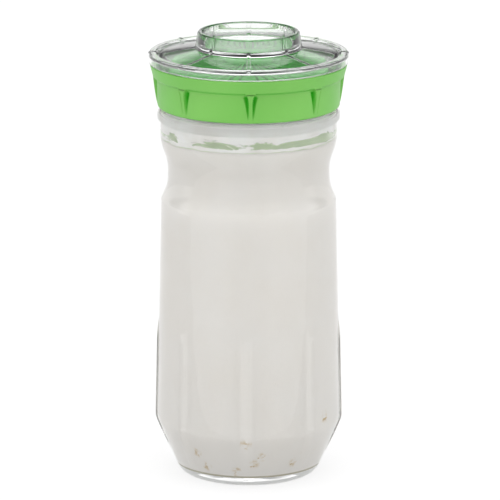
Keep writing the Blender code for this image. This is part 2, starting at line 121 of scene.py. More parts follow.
# Screw threads: the lower one joins glass and lid, the upper one lid and cover. The heights of the ridges
# follow from the ridges and walls that the solids have, so that they mesh as those do
THREAD_STARTS = 4
THREAD_LEAD = 16 * MM
RIDGE_MARGIN = 0.3 * MM
RIDGE_TAPER = math.radians(9)
LOWER_RIDGE = 1.0 * MM
LOWER_HOLLOW = 41.0 * MM
UPPER_RIDGE = 0.8 * MM
UPPER_SKIRT = 42.7 * MM
LOWER_THREAD = LID_LOW + RIDGE_MARGIN + LOWER_RIDGE
UPPER_THREAD = SKIRT_LOW + RIDGE_MARGIN + UPPER_RIDGE

# Slight waves inside pressed glass: how many go round it, and how they turn per metre of height
GLASS_WAVES = ((3, 90), (7, -160), (11, 310))

# Noise on top of the kefir, in waves per metre: swell, with its roughness, spacing and octaves, curd and edge
SWELL_SCALE = 70
SWELL_OCTAVES = (0.9, 2.1, 3)
CURD_SCALE = 420
EDGE_SCALE = 160

# How deep the top of the kefir may dip, and the share of a stain's reach over which it is full
TOP_DEPTH = 4 * MM
STAIN_CORE = 0.2

# Lumps of a grain: how many, their share of the mean radius, how far they lie apart along and up the wall,
# how uneven they are and how far apart their noise is read, how they are pressed flat against the glass, and
# the levels, of a lump's radius, at which it is fitted to the wall
LUMPS = (2, 4)
LUMP_SHARE = (0.45, 1.0)
LUMP_ASIDE = 2.4 * MM
LUMP_CLIMB = 1.2 * MM
LUMP_UNEVEN = 0.35
LUMP_WAVES = 1.3
LUMP_SPREAD = 9
LUMP_PRESSED = Vector((0.5, 1.0, 0.75))
LUMP_LEVELS = (-0.6, 0.0, 0.6)

# Width of the camera's sensor in millimetres, which the lens is given for
SENSOR = 36.0

WHITE = (1.0, 1.0, 1.0, 1.0)


def length(name, default, description):
    return FloatProperty(name=name, description=description, default=default * MM, unit="LENGTH", precision=5)


def angle(name, default, description):
    return FloatProperty(name=name, description=description, default=math.radians(default), subtype="ANGLE")


def share(name, default, description):
    return FloatProperty(name=name, description=description, default=default, subtype="FACTOR", min=0.0)


def colour(name, default, description):
    return FloatVectorProperty(
        name=name, description=description, default=default, subtype="COLOR", min=0.0, max=1.0)


class GlassSizes(bpy.types.PropertyGroup):
    """Sizes of the glass jar, from its foot up."""

    foot_radius: length("Foot corner", 33.3, "Radius at which the chamfer meets the table, before its fillet")
    foot_fillet: length("Foot fillet", 5.9, "Rounding of the foot's corner")
    foot_ring: length("Foot ring", 8.9, "From the foot's corner to the hollow under the jar")
    push_up: length("Push-up", 1.6, "Height of the hollow under the jar")
    chamfer_height: length("Chamfer height", 27.0, "Height of the chamfer over the foot")
    chamfer_fillet: length("Chamfer fillet", 9.0, "Rounding where the chamfer meets the body")
    body_radius: length("Body radius", 44.7, "Radius at the top of the chamfer")
    body_height: length("Body height", 109.0, "From the chamfer to the shoulder")
    shoulder_radius: length("Shoulder radius", 42.3, "Radius at the shoulder")
    shoulder_fillet: length("Shoulder fillet", 1.5, "Rounding of the shoulder's edge")
    shoulder_height: length("Shoulder height", 7.2, "From the shoulder to the waist")
    waist_radius: length("Waist radius", 39.1, "Radius of the narrow waist")
    waist_fillet: length("Waist fillet", 30.0, "Rounding under the waist")
    waist_height: length("Waist height", 11.3, "Height of the waist")
    flare_height: length("Flare height", 9.5, "From the waist out to the neck")
    flare_fillet: length("Flare fillet", 20.0, "Rounding of the flare")
    neck_radius: length("Neck radius", 42.5, "Radius of the neck under the bead")
    neck_height: length("Neck height", 11.5, "Height of the neck under the bead")
    bead_proud: length("Bead", 1.5, "How far the bead stands out from the neck")
    bead_height: length("Bead height", 4.5, "Height of the bead")
    bead_fillet: length("Bead fillet", 2.1, "Rounding of the bead")
    finish_radius: length("Finish radius", 39.4, "Radius of the screw finish")
    wall: length("Wall", 3.2, "Thickness of the glass")
    floor: length("Floor", 5.0, "Thickness of the foot")
    mouth_slope: length("Mouth slope", 6.0, "Height over which the inside narrows to the mouth")
    rim_fillet: length("Rim fillet", 1.2, "Rounding of the rim")
    rib_count: IntProperty(name="Ribs", description="Upright ribs round the body", default=8, min=0)
    rib_turn: angle("Rib turn", -1.5, "How far the ribs are turned from the front")
    rib_width: length("Rib width", 5.6, "Width of a rib")
    rib_proud: length("Rib height", 0.9, "How far a rib stands out")
    rib_low: length("Rib foot", 8.0, "Height at which the ribs begin")
    rib_high: length("Rib top", 77.0, "Height at which the ribs end")
    rib_fade: length("Rib fade", 12.0, "Length over which a rib sinks into the wall")
    ridge: length("Thread ridge", 0.9, "Radius of a thread ridge")
    ridge_span: angle("Thread span", 70, "Turn of each thread ridge")
    ripple: length("Ripple", 0.05, "Unevenness of the inside, as pressed glass has")


class LidSizes(bpy.types.PropertyGroup):
    """Sizes of the green lid."""

    inner_radius: length("Inner radius", 41.0, "Radius of the hollow for the glass")
    wall: length("Wall", 2.8, "Thickness of the wall")
    draft: length("Draft", 0.5, "How much wider the wall is at its top")
    foot_fillet: length("Foot fillet", 1.2, "Rounding of the lower edge")
    socket_step: length("Socket step", 3.0, "How much wider the socket is than the hollow")
    band_wall: length("Band wall", 2.0, "Thickness of the band at its foot")
    band_height: length("Band height", 5.9, "Height of the band")
    band_ledge: length("Band ledge", 1.2, "Height of the sloping ledge under the band")
    band_fillet: length("Band fillet", 1.1, "Rounding under the band")
    gusset_count: IntProperty(name="Gussets", description="Gussets under the band", default=8, min=0)
    gusset_turn: angle("Gusset turn", 1.2, "How far the gussets are turned from the front")
    gusset_top: length("Gusset top width", 5.0, "Width of a gusset under the band")
    gusset_foot: length("Gusset foot width", 1.5, "Width of a gusset at its foot")
    gusset_low: length("Gusset foot height", 1.4, "From the lower edge to a gusset's foot")
    gusset_flank: length("Gusset flank", 0.5, "Width of a gusset's sloping side")
    groove_depth: length("Groove depth", 1.5, "Depth of the grooves beside a gusset")
    groove_width: length("Groove width", 2.6, "Width of the grooves beside a gusset, at their top")
    strainer_radius: length("Strainer radius", 37.5, "Radius of the raised strainer")
    strainer_rise: length("Strainer rise", 6.0, "How far the strainer stands over its border")
    strainer_slope: length("Strainer slope", 1.8, "Width of the slope round the strainer")
    slot_width: length("Slot width", 1.1, "Width of a strainer slot")
    slot_inner: length("Slot inner end", 12.0, "Radius at which the slots begin")
    slot_outer: length("Slot outer end", 35.5, "Radius at which the slots end")
    slot_sectors: IntProperty(name="Slot sectors", description="Sectors of the strainer", default=8, min=1)
    slots: IntProperty(name="Slots", description="Slots in each sector", default=5, min=1)
    lower_ridge: length("Lower ridge", 0.9, "Radius of the ridges that hold the glass")
    lower_span: angle("Lower thread span", 70, "Turn of each ridge that holds the glass")
    upper_ridge: length("Upper ridge", 0.7, "Radius of the ridges that hold the cover")
    upper_span: angle("Upper thread span", 30, "Turn of each ridge that holds the cover")


class CoverSizes(bpy.types.PropertyGroup):
    """Sizes of the clear cover."""

    rim_height: length("Rim height", 5.0, "Height of the rim")
    rim_width: length("Rim width", 4.4, "Width of the rim's raised edge")
    rim_wall: length("Rim wall", 1.6, "Thickness of the rim's wall and top")
    rim_step: length("Rim step", 1.1, "How far the panel lies under the rim")
    rim_fillet: length("Rim fillet", 1.0, "Rounding of the rim")
    panel: length("Panel", 1.8, "Thickness of the panel")
    panel_rise: length("Panel rise", 2.0, "From the rim's top to the knob's foot")
    skirt_radius: length("Skirt radius", 42.7, "Outer radius of the skirt")
    skirt_wall: length("Skirt wall", 1.6, "Thickness of the skirt")
    knob_radius: length("Knob radius", 24.2, "Radius of the knob's lip")
    knob_flare: length("Knob flare", 1.4, "How much wider the knob is at its foot")
    knob_fillet: length("Knob fillet", 0.7, "Rounding at the knob's foot")
    knob_wall: length("Knob wall", 1.8, "Thickness of the knob")
    lip_fillet: length("Lip fillet", 0.8, "Rounding of the knob's lip")
    cup_depth: length("Cup depth", 6.7, "Depth of the cup in the knob")
    cup_floor: length("Cup floor", 1.9, "Thickness of the cup's floor")
    spoke_count: IntProperty(name="Spokes", description="Spokes over the panel", default=8, min=0)
    spoke_width: length("Spoke width", 1.8, "Width of a spoke")
    spoke_proud: length("Spoke height", 0.3, "How far a spoke stands out")
    ridge: length("Thread ridge", 0.7, "Radius of a thread ridge")
    ridge_span: angle("Thread span", 30, "Turn of each thread ridge")


class FillingSizes(bpy.types.PropertyGroup):
    """Sizes of the kefir and its grains."""

    overlap: length("Contact", 0.12, "How far the filling reaches into the glass, to look wet against it")
    swell: length("Swell", 1.0, "Height of the soft waves on top")
    curd: length("Curd", 0.25, "Height of the fine curd on top")
    sink: length("Sink", 0.5, "How far the middle of the top lies under the level")
    edge_wave: length("Edge", 0.6, "How unevenly the top meets the glass")
    edge_width: length("Edge width", 4.0, "Width of the edge that clings to the glass")
    film: length("Film", 0.1, "Thickness of the film on the glass over the kefir")
    film_low: length("Film foot", 2.5, "How far under the level the film begins")
    press: length("Pressed grains", 0.2, "How far a grain stands out of the kefir into the light")
    stain: length("Stain", 3.2, "How far the stain reaches round a grain")
    stain_strength: share("Stain strength", 0.85, "How much of the kefir's colour a stain covers")
    lump: length("Lump", 1.3, "Mean radius of a lump in a grain")
    seed: IntProperty(name="Seed", description="Start of the random shapes of the grains", default=7)


class Finishes(bpy.types.PropertyGroup):
    """Colours of the pieces."""

    glass: colour("Glass", (0.985, 0.99, 0.985), "Tint of the glass")
    clear: colour("Clear plastic", (0.98, 0.99, 0.985), "Tint of the clear cover")
    green: colour("Green", (0.075, 0.375, 0.035), "Green plastic")
    green_deep: colour("Deep green", (0.062, 0.345, 0.027), "Green plastic where it is thin")
    green_sheen: colour("Green sheen", (1.0, 1.0, 0.62), "Tint of the light thrown back by green plastic")
    # Painted shade: the grooves beside the gussets are coloured a deeper green, as shade and interreflection
    # would make them
    groove_painted_shade: colour("Groove painted shade", (0.0, 0.42, 0.0), "Green plastic in the grooves beside the gussets")
    strainer: colour("Strainer green", (0.02, 0.40, 0.015), "Matt green of the strainer")
    strainer_deep: colour("Deep strainer green", (0.01, 0.34, 0.005), "The strainer's green, in patches")
    kefir: colour("Kefir", (0.875, 0.855, 0.825), "Kefir")
    kefir_warm: colour("Warm kefir", (0.862, 0.835, 0.795), "Kefir where curd lies against the glass")
    # Painted light: a lighter copy of the kefir's colour, for the film and the kefir's underside
    film: colour("Film", (0.98, 0.985, 0.975), "Film of kefir on the glass")
    # Partly whey's own yellow-green, partly painted light that lightens the kefir's upward faces
    top: colour("Kefir top", (0.80, 0.95, 0.64), "Top of the kefir, wet with whey")
    grain: colour("Grain", (0.55, 0.40, 0.20), "Kefir grain")
    grain_pale: colour("Pale grain", (0.64, 0.51, 0.31), "Kefir grain where it is thin")
    # Painted shade: a dark line at the kefir's foot, where its bottom edge meets the glass floor
    painted_foot_shade: colour("Painted foot shade", (0.34, 0.30, 0.17), "Fine line of sediment at the foot")
    silicone: colour("Silicone", (0.70, 0.72, 0.70), "Silicone of the seals")
    silicone_deep: colour("Deep silicone", (0.658, 0.6768, 0.658), "Silicone of the seals, in patches")


class StageSettings(bpy.types.PropertyGroup):
    """Camera, floor and light."""

    camera_distance: length("Camera distance", 2130, "From the jar's axis to the camera, level")
    camera_height: length("Camera height", 635, "Height of the camera over the floor")
    camera_pitch: angle("Camera pitch", 13.851, "How far the camera looks down")
    camera_yaw: angle("Camera yaw", -0.0176, "How far the camera looks left")
    lens: FloatProperty(
        name="Lens", description="Focal length on a 36 mm sensor", default=326.0, subtype="DISTANCE_CAMERA")
    sheet_width: length("Sheet width", 750, "Half the width of the white sheet under the jar")
    sheet_front: length("Sheet front", 120, "How far the sheet reaches in front of the jar")
    sheet_back: length("Sheet back", 4000, "How far the sheet reaches behind the jar")
    sheet_drop: length("Sheet drop", 0.1, "How far the sheet lies under the jar, clear of its glass")
    sheet_shade: share("Sheet shade", 0.13, "Part of the sheet's white that takes the jar's shadow")
    sheet_glow: share("Sheet glow", 0.83, "Part of the sheet's white that takes no shadow")
    sheet_paper: share("Sheet paper", 0.75, "How much light the sheet throws back on the jar")
    room: share("Room", 0.2, "Light from the dim room all round")
    edge: angle("Soft edge", 25, "Width of the soft edge of each light")
    backdrop_edge: angle("Sharp edge", 6, "Width of the sharper upper edges")
    box: share("Side boxes", 1.2, "Strength of the soft box on each side")
    box_near: angle("Side box front", 12, "Turn from the camera at which each side box begins")
    box_far: angle("Side box back", 112, "Turn from the camera at which each side box ends")
    fill: share("Front fill", 0.85, "Strength of the light round the camera")
    fill_far: angle("Front fill edge", 37, "Turn from the camera at which the light round it ends")
    box_low: angle("Side box foot", -100, "Height over the horizon of each side box's foot")
    box_high: angle("Side box top", 50, "Height over the horizon of each side box's top")
    backdrop_near: angle("Backdrop edge", 80, "Turn from the camera at which the white backdrop begins")
    backdrop_high: angle("Backdrop top", 26, "Height over the horizon of the white backdrop")
    flag_low: angle("Flag foot", 5, "Height over the horizon of the dark flag before the backdrop")
    flag_high: angle("Flag top", 19, "Height over the horizon of the dark flag's top")
    card_half: angle("Card width", 4, "Half the width of the white card before the flag")
    top: share("Top box", 2.9, "Strength of the soft box overhead")
    top_low: angle("Top box edge", 38, "Height over the horizon at which the soft box overhead begins")


GROUPS = {
    "kefir_jar_glass": GlassSizes,
    "kefir_jar_lid": LidSizes,
    "kefir_jar_cover": CoverSizes,
    "kefir_jar_filling": FillingSizes,
    "kefir_jar_finishes": Finishes,
    "kefir_jar_stage": StageSettings,
}


# Profiles

def rounded(corners):
    """The points of a profile given as (radius, height, fillet) corners, with each fillet as an arc.
    A fillet is limited by the two sides that it joins."""
    points = []
    for index, (radius, height, fillet) in enumerate(corners):
        corner = Vector((radius, height))
        if fillet == 0:
            points.append(corner)
            continue
        before = Vector(corners[index - 1][:2]) - corner
        after = Vector(corners[(index + 1) % len(corners)][:2]) - corner
        half_angle = before.angle(after) / 2
        reach = min(fillet / math.tan(half_angle), FILLET_SHARE * min(before.length, after.length))
        arc_radius = reach * math.tan(half_angle)
        towards_centre = (before.normalized() + after.normalized()).normalized()
        centre = corner + towards_centre * arc_radius / math.sin(half_angle)
        start = corner + before.normalized() * reach - centre
        turn = math.pi - 2 * half_angle
        if before.cross(after) > 0:
            turn = -turn
        steps = max(2, math.ceil(abs(turn) / ARC_STEP), math.ceil(arc_radius * abs(turn) / RUN_STEP))
        for step in range(steps + 1):
            points.append(centre + Matrix.Rotation(turn * step / steps, 2) @ start)
    return points


def divided(points, low=0.0, high=0.0, fine=THREAD_STEP):
    """Adds points along the straight runs, and more of them between two heights."""
    made = []
    for here, there in zip(points, points[1:]):
        middle = (here.y + there.y) / 2
        step = fine if low < middle < high else RUN_STEP
        count = max(1, math.ceil((there - here).length / step))
        made.extend(here.lerp(there, part / count) for part in range(count))
    return [*made, points[-1]]


def radius_at(points, height):
    """The radius of a profile that runs from top to bottom, at a height on its outer side."""
    for upper, lower in zip(points, points[1:]):
        if lower.y <= height <= upper.y and lower.y < upper.y:
            return lower.x + (height - lower.y) / (upper.y - lower.y) * (upper.x - lower.x)
    raise ValueError(f"the profile has no wall at a height of {height}")


def glass_outside(glass):
    """The corners of the glass from under the bead down to the chamfer."""
    shoulder = glass.chamfer_height + glass.body_height
    waist_low = shoulder + glass.shoulder_height
    waist_high = waist_low + glass.waist_height
    return [
        (glass.neck_radius, waist_high + glass.flare_height, glass.flare_fillet),
        (glass.waist_radius, waist_high, glass.flare_fillet),
        (glass.waist_radius, waist_low, glass.waist_fillet),
        (glass.shoulder_radius, shoulder, glass.shoulder_fillet),
        (glass.body_radius, glass.chamfer_height, glass.chamfer_fillet),
    ]


def glass_finish_low(glass):
    """The height at which the screw finish rises from the bead."""
    return glass_outside(glass)[0][1] + glass.neck_height + glass.bead_height


def glass_inside(glass, gap=0.0):
    """The corners of the space in the glass from the rim down to the floor, made smaller by a gap."""
    wall = glass.wall + gap
    floor = glass.floor + gap
    finish_low = glass_finish_low(glass)
    mouth = glass.finish_radius - wall
    slope = (glass.body_radius - glass.foot_radius) / glass.chamfer_height
    return [
        (mouth, RIM, glass.rim_fillet),
        (mouth, finish_low, glass.rim_fillet),
        (glass.neck_radius - wall, finish_low - glass.mouth_slope, glass.rim_fillet),
        *[(radius - wall, height, fillet) for radius, height, fillet in glass_outside(glass)],
        (glass.foot_radius + slope * floor - wall, floor, glass.foot_fillet),
        (0.0, floor, 0),
    ]


# Turned pieces

def turns_near(count, reach, fine, coarse, offset=0.0):
    """Angles round a piece, in degrees, that lie close together near features which repeat round it."""
    pitch = 360 / count
    beside = np.arange(-reach, reach, fine)
    between = np.linspace(reach, pitch - reach, round((pitch - 2 * reach) / coarse), endpoint=False)
    sector = np.concatenate([beside, between]) + offset
    return np.radians(np.concatenate([sector + pitch * index for index in range(count)]))


# Turns of a plain ring, in which nothing repeats
RING_TURNS = turns_near(8, reach=5.0, fine=1.0, coarse=1.5)


def normals_of(profile, ring):
    """The outward direction at each point of a profile that runs down its outer side."""
    points = np.array([tuple(point) for point in profile])
    if ring:
        along = np.roll(points, -1, axis=0) - np.roll(points, 1, axis=0)
    else:
        along = np.gradient(points, axis=0)
    across = np.column_stack([-along[:, 1], along[:, 0]])
    return points, across / np.linalg.norm(across, axis=1)[:, None]


def turned(name, profile, turns, push=None, ring=False):
    """A closed piece turned from a profile that runs down its outer side: from axis to axis, or round a ring.
    push(radius, height, out, up, turn) gives how far each point moves outward and upward, and its mark."""
    points, normals = normals_of(profile, ring)
    shape = (len(points), len(turns))
    radius, height = (np.broadcast_to(points[:, axis, None], shape).copy() for axis in (0, 1))
    turn = np.broadcast_to(turns[None, :], shape)
    mark = np.zeros(shape)
    if push:
        out, up, mark = push(radius, height, normals[:, 0, None], normals[:, 1, None], turn)
        radius, height = radius + out, height + up
    places = np.stack([radius * np.cos(turn), radius * np.sin(turn), height], axis=-1)
    vertices, marks, rows = [], [], []
    for row in range(len(points)):
        on_axis = not ring and row in (0, len(points) - 1)
        count = 1 if on_axis else len(turns)
        rows.append([len(vertices) + index % count for index in range(len(turns))])
        vertices.extend(places[row, :count].tolist())
        marks.extend(mark[row, :count].tolist())
    faces = []
    pairs = zip(rows, rows[1:] + rows[:1]) if ring else zip(rows, rows[1:])
    for upper, lower in pairs:
        for index in range(len(turns)):
            after = (index + 1) % len(turns)
            face = (upper[index], lower[index], lower[after], upper[after])
            faces.append(tuple(dict.fromkeys(face)))
    mesh = bpy.data.meshes.new(name)
    mesh.from_pydata(vertices, [], faces)
    mesh.attributes.new(MARK, "FLOAT", "POINT").data.foreach_set("value", marks)
    mesh.shade_smooth()
    obj = bpy.data.objects.new(name, mesh)
    bpy.context.scene.collection.objects.link(obj)
    return obj


def smooth_step(low, high, value):
    """0 below low, 1 above high, and a soft rise between them."""
    part = np.clip((value - low) / (high - low), 0.0, 1.0)
    return part * part * (3 - 2 * part)


def from_nearest(turn, count, offset=0.0):
    """The angle from the nearest of the features that repeat round the axis."""
    pitch = math.tau / count
    return (turn - offset + pitch / 2) % pitch - pitch / 2


def thread_ridges(turn, height, low, span, ridge):
    """How far the ridges of a right-hand thread stand out of a wall: each climbs, and thins at its ends."""
    proud = np.zeros_like(height)
    for start in range(THREAD_STARTS):
        along = (turn - math.tau * start / THREAD_STARTS + math.pi) % math.tau - math.pi
        ends = smooth_step(0, RIDGE_TAPER, along) * smooth_step(0, RIDGE_TAPER, span - along)
        from_middle = height - low - THREAD_LEAD * along / math.tau
        section = np.sqrt(np.clip(ridge ** 2 - from_middle ** 2, 0, None))
        proud = np.maximum(proud, section * ends)
    return proud


def ridge_drop(ridge, spacing):
    """How far one wall's ridges lie under the other's when they touch but for the seat gap."""
    return math.sqrt((2 * ridge + SEAT_GAP) ** 2 - spacing ** 2)


def give(obj, material, body, slot, *nodes):
    """Gives a piece its material and its body, and hides the frame's nodes that it stands for. The slot is
    not used.
    """
    obj.data.materials.append(material)
    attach(obj, body)
    if nodes:
        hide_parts(*nodes)


# Shader nodes

def add_node(tree, kind, inputs=None, **settings):
    """Adds a shader node; each of its inputs is given a value, or another node's socket to link from."""
    node = tree.nodes.new("ShaderNode" + kind)
    for name, value in settings.items():
        setattr(node, name, value)
    for name, value in (inputs or {}).items():
        if isinstance(value, bpy.types.NodeSocket):
            tree.links.new(value, node.inputs[name])
        else:
            node.inputs[name].default_value = value
    return node


def combined(tree, operation, first, second=0.0):
    return add_node(tree, "Math", {0: first, 1: second}, operation=operation).outputs[0]


def ranged(tree, value, start, end, low=0.0, high=1.0, shape="LINEAR"):
    """Low where the value is at start, high where it is at end, and no further beyond them."""
    inputs = {"Value": value, "From Min": start, "From Max": end, "To Min": low, "To Max": high}
    return add_node(tree, "MapRange", inputs, interpolation_type=shape).outputs["Result"]


def tinted(tree, factor, under, tint):
    """The colour under it, turned to the plain tint where the factor is 1."""
    inputs = {"Factor": factor, "A": under, "B": (*tint, 1.0)}
    return add_node(tree, "Mix", inputs, data_type="RGBA").outputs["Result"]


def noise_in(tree, place, scale, detail, **more):
    inputs = {"Vector": place, "Scale": scale, "Detail": detail, **more}
    return add_node(tree, "TexNoise", inputs).outputs["Fac"]


def place_on(tree):
    """Where a point lies on its piece, in metres."""
    return add_node(tree, "TexCoord").outputs["Object"]


def upright(tree, vector):
    return add_node(tree, "SeparateXYZ", {"Vector": vector}).outputs["Z"]


def marked(tree):
    """The value that the piece's mesh holds at its marked places."""
    return add_node(tree, "Attribute", attribute_name=MARK).outputs["Fac"]


def new_group(name, inputs, result, kind="NodeSocketFloat"):
    """A shader node group with inputs given as {name: default} and one result; a colour has four parts."""
    group = bpy.data.node_groups.new(name, "ShaderNodeTree")
    for label, default in inputs.items():
        socket_type = "NodeSocketFloat" if isinstance(default, float) else "NodeSocketColor"
        socket = group.interface.new_socket(label, in_out="INPUT", socket_type=socket_type)
        socket.default_value = default
    group.interface.new_socket(result, in_out="OUTPUT", socket_type=kind)
    return group, group.nodes.new("NodeGroupInput").outputs, group.nodes.new("NodeGroupOutput").inputs[result]


def ripple_group():
    """Uneven moulded surface: slow waves with a finer grain over them."""
    group, inputs, height = new_group(
        "Moulded ripple", {"Waves per metre": 60.0, "Grain per metre": 900.0, "Grain share": 0.1}, "Height")
    place = place_on(group)
    waves = noise_in(group, place, inputs["Waves per metre"], detail=1.0)
    grain = noise_in(group, place, inputs["Grain per metre"], detail=2.0)
    mixed = add_node(group, "Mix", {"Factor": inputs["Grain share"], "A": waves, "B": grain})
    group.links.new(mixed.outputs["Result"], height)
    return group


def smudge_group():
    """Roughness that differs where hands and cloths have touched."""
    group, inputs, roughness = new_group(
        "Handling smudges", {"Patches per metre": 45.0, "Clean": 0.0, "Smudged": 0.05}, "Roughness")
    patches = noise_in(group, place_on(group), inputs["Patches per metre"], detail=4.0, Roughness=0.6)
    touched = ranged(
        group, patches, start=0.45, end=0.7, low=inputs["Clean"], high=inputs["Smudged"])
    group.links.new(touched, roughness)
    return group


def mottle_group():
    """Two colours in soft patches."""
    group, inputs, colour_out = new_group(
        "Soft mottle", {"Patches per metre": 30.0, "First": WHITE, "Second": WHITE}, "Colour",
        kind="NodeSocketColor")
    patches = noise_in(group, place_on(group), inputs["Patches per metre"], detail=5.0, Roughness=0.55)
    mask = ranged(group, patches, start=0.35, end=0.65)
    mixed = add_node(
        group, "Mix", {"Factor": mask, "A": inputs["First"], "B": inputs["Second"]}, data_type="RGBA")
    group.links.new(mixed.outputs["Result"], colour_out)
    return group


GROUP_MAKERS = {"ripple": ripple_group, "smudge": smudge_group, "mottle": mottle_group}


def place_group(tree, name, inputs):
    """Places a shared node group, which is built the first time it is asked for, and gives its result."""
    key = f"kefir_jar_{name}"
    if key not in bpy.data.node_groups:
        GROUP_MAKERS[name]().name = key
    return add_node(tree, "Group", inputs, node_tree=bpy.data.node_groups[key]).outputs[0]


def add_ripple(tree, shader, waves, grain, grain_share, depth):
    """Bump from the ripple group; depth is in metres."""
    height = place_group(tree, "ripple", {
        "Waves per metre": waves, "Grain per metre": grain, "Grain share": grain_share})
    bump = add_node(tree, "Bump", {"Height": height, "Distance": depth, "Strength": 1.0})
    tree.links.new(bump.outputs["Normal"], shader.inputs["Normal"])


def smudges(tree, patches, clean, smudged):
    return place_group(tree, "smudge", {"Patches per metre": patches, "Clean": clean, "Smudged": smudged})


def mottled(tree, first, second, patches):
    return place_group(tree, "mottle", {
        "Patches per metre": patches, "First": (*first, 1.0), "Second": (*second, 1.0)})


# Materials

def new_material(name, **sockets):
    """A material with its Principled BSDF set to the values given."""
    material = bpy.data.materials.new(name)
    material.use_nodes = True
    shader = material.node_tree.nodes["Principled BSDF"]
    for label, value in sockets.items():
        shader.inputs[label.replace("_", " ")].default_value = value
    return material, material.node_tree, shader


def finish(tree, shader, **results):
    """Feeds the shader's sockets."""
    for label, socket in results.items():
        tree.links.new(socket, shader.inputs[label.replace("_", " ")])


def glass_material(finishes):
    material, tree, shader = new_material(
        "pressed_glass", Base_Color=(*finishes.glass, 1.0), IOR=1.52, Transmission_Weight=1.0)
    finish(tree, shader, Roughness=smudges(tree, patches=40.0, clean=0.0, smudged=0.02))
    add_ripple(tree, shader, waves=55.0, grain=400.0, grain_share=0.04, depth=0.25 * MM)
    return material


def clear_plastic_material(finishes):
    """Clear plastic, frosted where its mark is."""
    material, tree, shader = new_material(
        "clear_plastic", Base_Color=(*finishes.clear, 1.0), IOR=1.57, Transmission_Weight=1.0)
    polished = smudges(tree, patches=60.0, clean=0.0, smudged=0.03)
    frosted = add_node(tree, "Mix", {"Factor": marked(tree), "A": polished, "B": 0.5})
    finish(tree, shader, Roughness=frosted.outputs["Result"])
    add_ripple(tree, shader, waves=70.0, grain=500.0, grain_share=0.05, depth=0.12 * MM)
    return material


def green_plastic_material(finishes):
    """Green plastic with a soft gloss; painted shade turns its marked grooves a deeper green."""
    material, tree, shader = new_material(
        "green_plastic", IOR=2.0, Specular_Tint=(*finishes.green_sheen, 1.0))
    body = mottled(tree, finishes.green, finishes.green_deep, patches=25.0)
    finish(tree, shader, Base_Color=tinted(tree, marked(tree), body, finishes.groove_painted_shade),
           Roughness=smudges(tree, patches=50.0, clean=0.42, smudged=0.48))
    add_ripple(tree, shader, waves=80.0, grain=2500.0, grain_share=0.3, depth=0.05 * MM)
    return material


def green_strainer_material(finishes):
    """The inside of the lid, where the plastic is matt."""
    material, tree, shader = new_material("green_strainer", IOR=1.5, Specular_IOR_Level=0.1)
    body = mottled(tree, finishes.strainer, finishes.strainer_deep, patches=40.0)
    finish(tree, shader, Base_Color=body, Roughness=smudges(tree, patches=50.0, clean=0.5, smudged=0.6))
    add_ripple(tree, shader, waves=80.0, grain=2500.0, grain_share=0.3, depth=0.05 * MM)
    return material


def silicone_material(name, finishes):
    material, tree, shader = new_material(name, IOR=1.43)
    body = mottled(tree, finishes.silicone, finishes.silicone_deep, patches=60.0)
    finish(tree, shader, Base_Color=body, Roughness=smudges(tree, patches=70.0, clean=0.4, smudged=0.55))
    add_ripple(tree, shader, waves=150.0, grain=3000.0, grain_share=0.4, depth=0.03 * MM)
    return material


def kefir_material(finishes, floor):
    """Kefir: soft cream patches, fine tan flecks that thicken towards the floor and stains round the grains.
    Painted shade darkens a thin line at the foot; painted light lightens the underside and the wet top, whose
    tint is partly whey's own yellow-green."""
    material, tree, shader = new_material(
        "kefir", IOR=1.35, Specular_IOR_Level=0.0, Coat_Roughness=0.04, Coat_IOR=1.6)
    place = place_on(tree)
    height = upright(tree, place)
    facing = upright(tree, add_node(tree, "NewGeometry").outputs["Normal"])
    cream = mottled(tree, finishes.kefir, finishes.kefir_warm, patches=35.0)

    rarity = ranged(tree, height, start=floor + 25 * MM, end=floor + 3 * MM, low=0.76, high=0.68)
    dense = combined(tree, "SUBTRACT", noise_in(tree, place, scale=260.0, detail=3.0), rarity)
    flecks = ranged(tree, dense, start=0.0, end=0.08, high=0.45)
    flecked = tinted(tree, flecks, cream, finishes.grain_pale)

    patches = noise_in(tree, place, scale=420.0, detail=3.0)
    broken = ranged(tree, patches, start=0.42, end=0.62, shape="SMOOTHSTEP")
    stain = combined(tree, "MULTIPLY", marked(tree), broken)
    stained = tinted(tree, stain, flecked, finishes.grain_pale)

    # Painted shade: a dark line along the kefir's foot
    foot_shade_mask = ranged(tree, height, start=floor + 1.3 * MM, end=floor + 0.6 * MM, high=0.85)
    foot_shaded = tinted(tree, foot_shade_mask, stained, finishes.painted_foot_shade)
    # Painted light: the underside takes the lighter film colour, and the upward faces the lighter top colour
    below = ranged(tree, facing, start=-0.93, end=-0.99)
    wet_lit_top = ranged(tree, facing, start=0.5, end=0.8)
    colour_out = tinted(tree, wet_lit_top, tinted(tree, below, foot_shaded, finishes.film), finishes.top)
    finish(tree, shader, Base_Color=colour_out, Coat_Weight=wet_lit_top,
           Roughness=smudges(tree, patches=90.0, clean=0.25, smudged=0.45))
    add_ripple(tree, shader, waves=120.0, grain=900.0, grain_share=0.4, depth=0.25 * MM)
    return material


